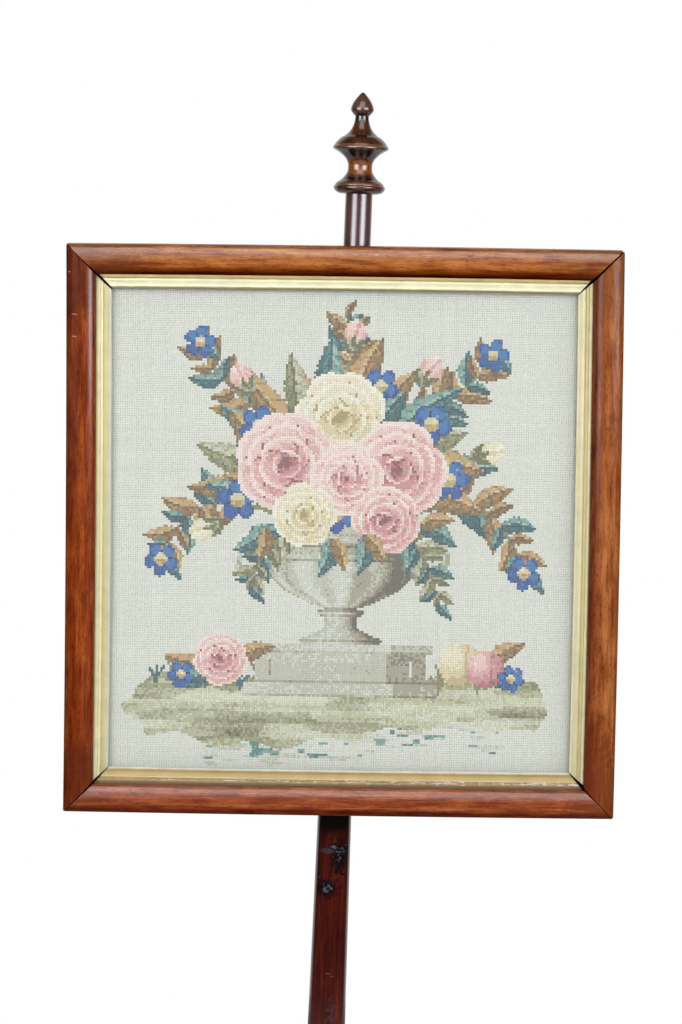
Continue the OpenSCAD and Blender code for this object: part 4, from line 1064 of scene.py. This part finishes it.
    # a fallen rose and two peaches on the bank
    for px, py, turn, wool in ((44, 47, 170, "tan"), (46, 45, 205, "teal"), (56, 48, 20, "tan"),
                               (160, 44, -20, "teal"), (166, 48, 30, "tan")):
        leaf(px, py, turn, 19, 9, wool)
    rose(50, 49, 11, "pink", 1.7)
    bloom(33, 42, 6)
    for px, py, r, wool in ((154, 48, 9.5, "cream"), (165, 46, 8, "pink")):
        rho = np.hypot(x - px, y - py) / r
        seam = np.abs(x - px - 2.2 - 0.05 * (y - py) ** 2 / 2) < 0.6
        work(rho < 1, 0.86 - 0.62 * np.hypot(x - px + 0.4 * r, y - py - 0.4 * r) / (1.4 * r) - 0.2 * seam, wool)
    bloom(176, 42, 6, 6)
    return chart


def nodeGroup(name, sizes, material):
    # a node group that grows copies on points, its sizes and material set where it is used
    tree = bpy.data.node_groups.new(name, "GeometryNodeTree")
    kinds = [("Geometry", "Geometry"), *((size, "Float") for size in sizes), (material, "Material")]
    for label, kind in kinds:
        tree.interface.new_socket(label, in_out="INPUT", socket_type="NodeSocket" + kind)
    tree.interface.new_socket("Geometry", in_out="OUTPUT", socket_type="NodeSocketGeometry")
    return tree, addNode(tree, "NodeGroupInput").outputs


def endGroup(tree, given, form, material, **turns):
    # a copy on each point, made real and given its material
    placed = addNode(tree, "GeometryNodeInstanceOnPoints", {"Points": given["Geometry"], "Instance": form,
                                                            **turns})
    real = addNode(tree, "GeometryNodeRealizeInstances", {0: placed.outputs[0]})
    done = addNode(tree, "GeometryNodeSetMaterial", {"Geometry": real.outputs[0], "Material": given[material]})
    addNode(tree, "NodeGroupOutput", {0: done.outputs[0]})
    return tree


def growOnPoints(name, points, values, tree, sizes):
    # values: a name, kind and key, and one value for each point; the result becomes the piece's own mesh
    label, kind, key, table = values
    dots = bpy.data.meshes.new(name)
    dots.from_pydata(points, [], [])
    dots.attributes.new(label, kind, "POINT").data.foreach_set(key, np.array(table, np.float32).ravel())
    piece = addObject(name, dots)
    work = piece.modifiers.new(name, "NODES")
    work.node_group = tree
    for socket in tree.interface.items_tree:
        if socket.name in sizes:
            work[socket.identifier] = sizes[socket.name]
    done = bpy.data.meshes.new_from_object(piece.evaluated_get(bpy.context.evaluated_depsgraph_get()))
    piece.modifiers.clear()
    piece.data = done
    return piece


def stitchNodes():
    tree, given = nodeGroup("woolStitches", ("Stitch width", "Stitch height", "Unevenness"), "Wool")
    radius = maths(tree, "MULTIPLY", given["Stitch width"], sqrt(0.5))
    tuft = addNode(tree, "GeometryNodeMeshCone", {"Vertices": 4, "Radius Top": 0.0, "Radius Bottom": radius,
                                                  "Depth": given["Stitch height"]}, fill_type="NONE")
    faced = addNode(tree, "GeometryNodeTransform", {"Geometry": tuft.outputs["Mesh"],
                                                    "Rotation": (pi / 2, pi / 4, 0)})
    most, seed = needlework["tilt"], needlework["seed"]
    tilt = addNode(tree, "FunctionNodeRandomValue", {0: [-c for c in most], 1: most, "Seed": seed},
                   data_type="FLOAT_VECTOR")
    least, most = (maths(tree, way, 1.0, given["Unevenness"]) for way in ("SUBTRACT", "ADD"))
    size = addNode(tree, "FunctionNodeRandomValue", {2: least, 3: most, "Seed": seed + 1}, data_type="FLOAT")
    soft = addNode(tree, "GeometryNodeSetShadeSmooth", {"Geometry": faced.outputs[0], "Shade Smooth": True})
    return endGroup(tree, given, soft.outputs[0], "Wool", Rotation=tilt.outputs[0], Scale=size.outputs[1])


def makeNeedlework():
    n = needlework
    rng = np.random.default_rng(n["seed"])
    # canvas, stretched over the strainer and turned down its edges
    w, h = n["canvas"][0] / 2, n["canvas"][1] / 2
    front, back, c = n["depth"], n["depth"] + n["wrap"], n["corner"]
    form = bmesh.new()
    eased = c * n["cornerEase"]
    levels = [(c, front), (eased, front + eased), (0, front + c), (0, back)]
    loops = []
    for edge, y in levels:
        a, b = w - edge, h - edge
        turns = [(-a, -b), (a, -b), (a, b), (-a, b)]
        ring = []
        for (x0, z0), (x1, z1) in zip(turns, turns[1:] + turns[:1]):
            ring += [form.verts.new(((x0 + (x1 - x0) * t) * mm, y * mm, (z0 + (z1 - z0) * t) * mm))
                     for t in np.linspace(0, 1, n["edgeSteps"])[:-1]]
        loops.append(ring)
    for a, b in zip(loops, loops[1:]):
        for k in range(len(a)):
            j = (k + 1) % len(a)
            form.faces.new((a[k], b[k], b[j], a[j]))
    form.faces.new(loops[0])
    bmesh.ops.recalc_face_normals(form, faces=form.faces)
    bmesh.ops.triangulate(form, faces=[f for f in form.faces if len(f.verts) > 4])
    bmesh.ops.transform(form, verts=form.verts, matrix=panelHang)
    mesh = bpy.data.meshes.new("workedCanvas")
    form.to_mesh(mesh)
    form.free()
    ground = addPiece("workedCanvas", mesh, "panel", canvasAndShade(), ["needlework"])
    thick = ground.modifiers.new("thick", "SOLIDIFY")
    thick.thickness = n["cloth"] * mm
    thick.offset = -1

    # stitches, one point each with its wool
    colours = chartUrn()
    rows, columns = colours.shape[:2]
    points, wool = [], []
    rowTone, columnTone = rng.normal(0, n["banding"], rows), rng.normal(0, n["banding"], columns)
    sight = slip["inset"] + slip["width"]
    # darken the wool beside each slip: painted shade of the slips, with some dust
    for side, (most, far) in n["dustAndShade"].items():
        i = sides.index(side)
        half = (panel["height"] if i % 2 == 0 else panel["width"]) / 2 - sight
        count = rows if i % 2 == 0 else columns
        away = 1 if side in ("top", "right") else -1
        inwards = half - (np.arange(count) - (count - 1) / 2) * n["pitch"] * away
        dustShadeLevel = 1 - most * np.exp(-np.maximum(inwards, 0) / far)
        colours *= dustShadeLevel[:, None, None] if i % 2 == 0 else dustShadeLevel[None, :, None]
    for j in range(rows):
        for i in range(columns):
            drift = n["drift"] * np.array([sin(j / n["driftOver"][0] + 1), sin(i / n["driftOver"][1])])
            dx, dz = rng.normal(0, n["jitter"], 2) + drift
            points.append(((i - (columns - 1) / 2 + dx) * n["pitch"] * mm, (front - n["height"] / 2) * mm,
                           (j - (rows - 1) / 2 + dz) * n["pitch"] * mm))
            wool.append([*(colours[j, i] * (rng.normal(1, n["dye"]) + rowTone[j] + columnTone[i])), 1.0])
    sizes = {"Stitch width": n["pitch"] * n["share"] * mm, "Stitch height": n["height"] * mm,
             "Unevenness": n["uneven"], "Wool": woolStitch()}
    dyes = ("wool", "FLOAT_COLOR", "color", np.clip(wool, 0, 1))
    piece = growOnPoints("woolStitches", points, dyes, stitchNodes(), sizes)
    piece.data.transform(panelHang)
    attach(piece, "panel")


makeNeedlework()
print("needlework made")


# Brackets, spring, screw and the small fasteners

for node in ("upper_bracket", "lower_bracket"):
    dressNode(node, "panel", brass, 0.5 * mm)
dressNode("pressure_pad", "pad", brass, 0.15 * mm)
dressNode("thumbscrew", "thumbscrew", brass, 0.5 * mm)
spring = dressNode("leaf_spring", "panel", brass, 0)
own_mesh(spring)

screwHeads = {"Head radius": 3.2, "Head height": 1.6, "Slot width": 0.8, "Slot depth": 0.8, "Shank radius": 1.6,
              "Shank length": 15.0}


def screwNodes():
    tree, given = nodeGroup("slottedScrews", screwHeads, "Metal")

    def rod(part, vertices, down):  # the head or the shank, let down along Z
        form = addNode(tree, "GeometryNodeMeshCylinder", {
            "Vertices": vertices, "Radius": given[part[0]], "Depth": given[part[1]]})
        place = addNode(tree, "ShaderNodeCombineXYZ", {"Z": down})
        return addNode(tree, "GeometryNodeTransform", {"Geometry": form.outputs["Mesh"],
                                                       "Translation": place.outputs[0]}).outputs[0]

    # the head's top is at the point, and the shank runs to -Z
    drop = maths(tree, "MULTIPLY", given["Head height"], -0.5)
    head = rod(("Head radius", "Head height"), 32, drop)
    shank = rod(("Shank radius", "Shank length"), 20,
                maths(tree, "MULTIPLY_ADD", given["Shank length"], -0.5, drop))
    size = addNode(tree, "ShaderNodeCombineXYZ", {
        "X": maths(tree, "MULTIPLY", given["Head radius"], 3.0), "Y": given["Slot width"],
        "Z": maths(tree, "MULTIPLY", given["Slot depth"], 2.0)})
    slot = addNode(tree, "GeometryNodeMeshCube", {"Size": size.outputs[0]})
    slotted = addNode(tree, "GeometryNodeMeshBoolean", {"Mesh 1": head, "Mesh 2": slot.outputs[0]},
                      operation="DIFFERENCE", solver="EXACT")
    screw = addNode(tree, "GeometryNodeJoinGeometry")
    tree.links.new(slotted.outputs["Mesh"], screw.inputs[0])
    tree.links.new(shank, screw.inputs[0])
    aim = addNode(tree, "GeometryNodeInputNamedAttribute", {"Name": "aim"}, data_type="FLOAT_VECTOR")
    return endGroup(tree, given, screw.outputs[0], "Metal", Rotation=aim.outputs[0])


def makeScrews(name, body, node, metal, places):
    sizes = {key: size * mm for key, size in screwHeads.items()}
    aims = ("aim", "FLOAT_VECTOR", "vector", [aim for place, aim in places])
    piece = growOnPoints(name, [place for place, aim in places], aims, screwNodes(), dict(sizes, Metal=metal))
    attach(piece, body)
    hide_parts(node)
    smoothMesh(piece.data)
    softEdges(piece, 0.25 * mm)


# bracket screws: heads to the back, their slots left at odd turns
bracket = {"width": 58.0, "plate": 2.6, "gap": 0.05,
           "screws": ((1363.5, -1, 0.3), (1363.5, 1, 1.2), (898.5, -1, -0.5), (898.5, 1, 0.8))}
screwsOut = bracket["width"] / 2 - 2 * screwHeads["Head radius"]
screwsBack = panel["place"][1] + rail["depth"] + bracket["plate"] + bracket["gap"] + screwHeads["Head height"]
makeScrews("bracketScrews", "panel", "bracket_screws", brass,
           [((side * screwsOut * mm, screwsBack * mm, z * mm), (-pi / 2, turn, 0))
            for z, side, turn in bracket["screws"]])

for node, slot, metal in (("spider_screws", "wrought_iron", iron), ("mitre_nails", "cut_steel", steel),
                          ("canvas_tacks", "cut_steel", steel), ("backboard_brads", "cut_steel", steel)):
    dressNode(node, "stand" if node == "spider_screws" else "panel", metal, 0)
print("brackets and fasteners made")
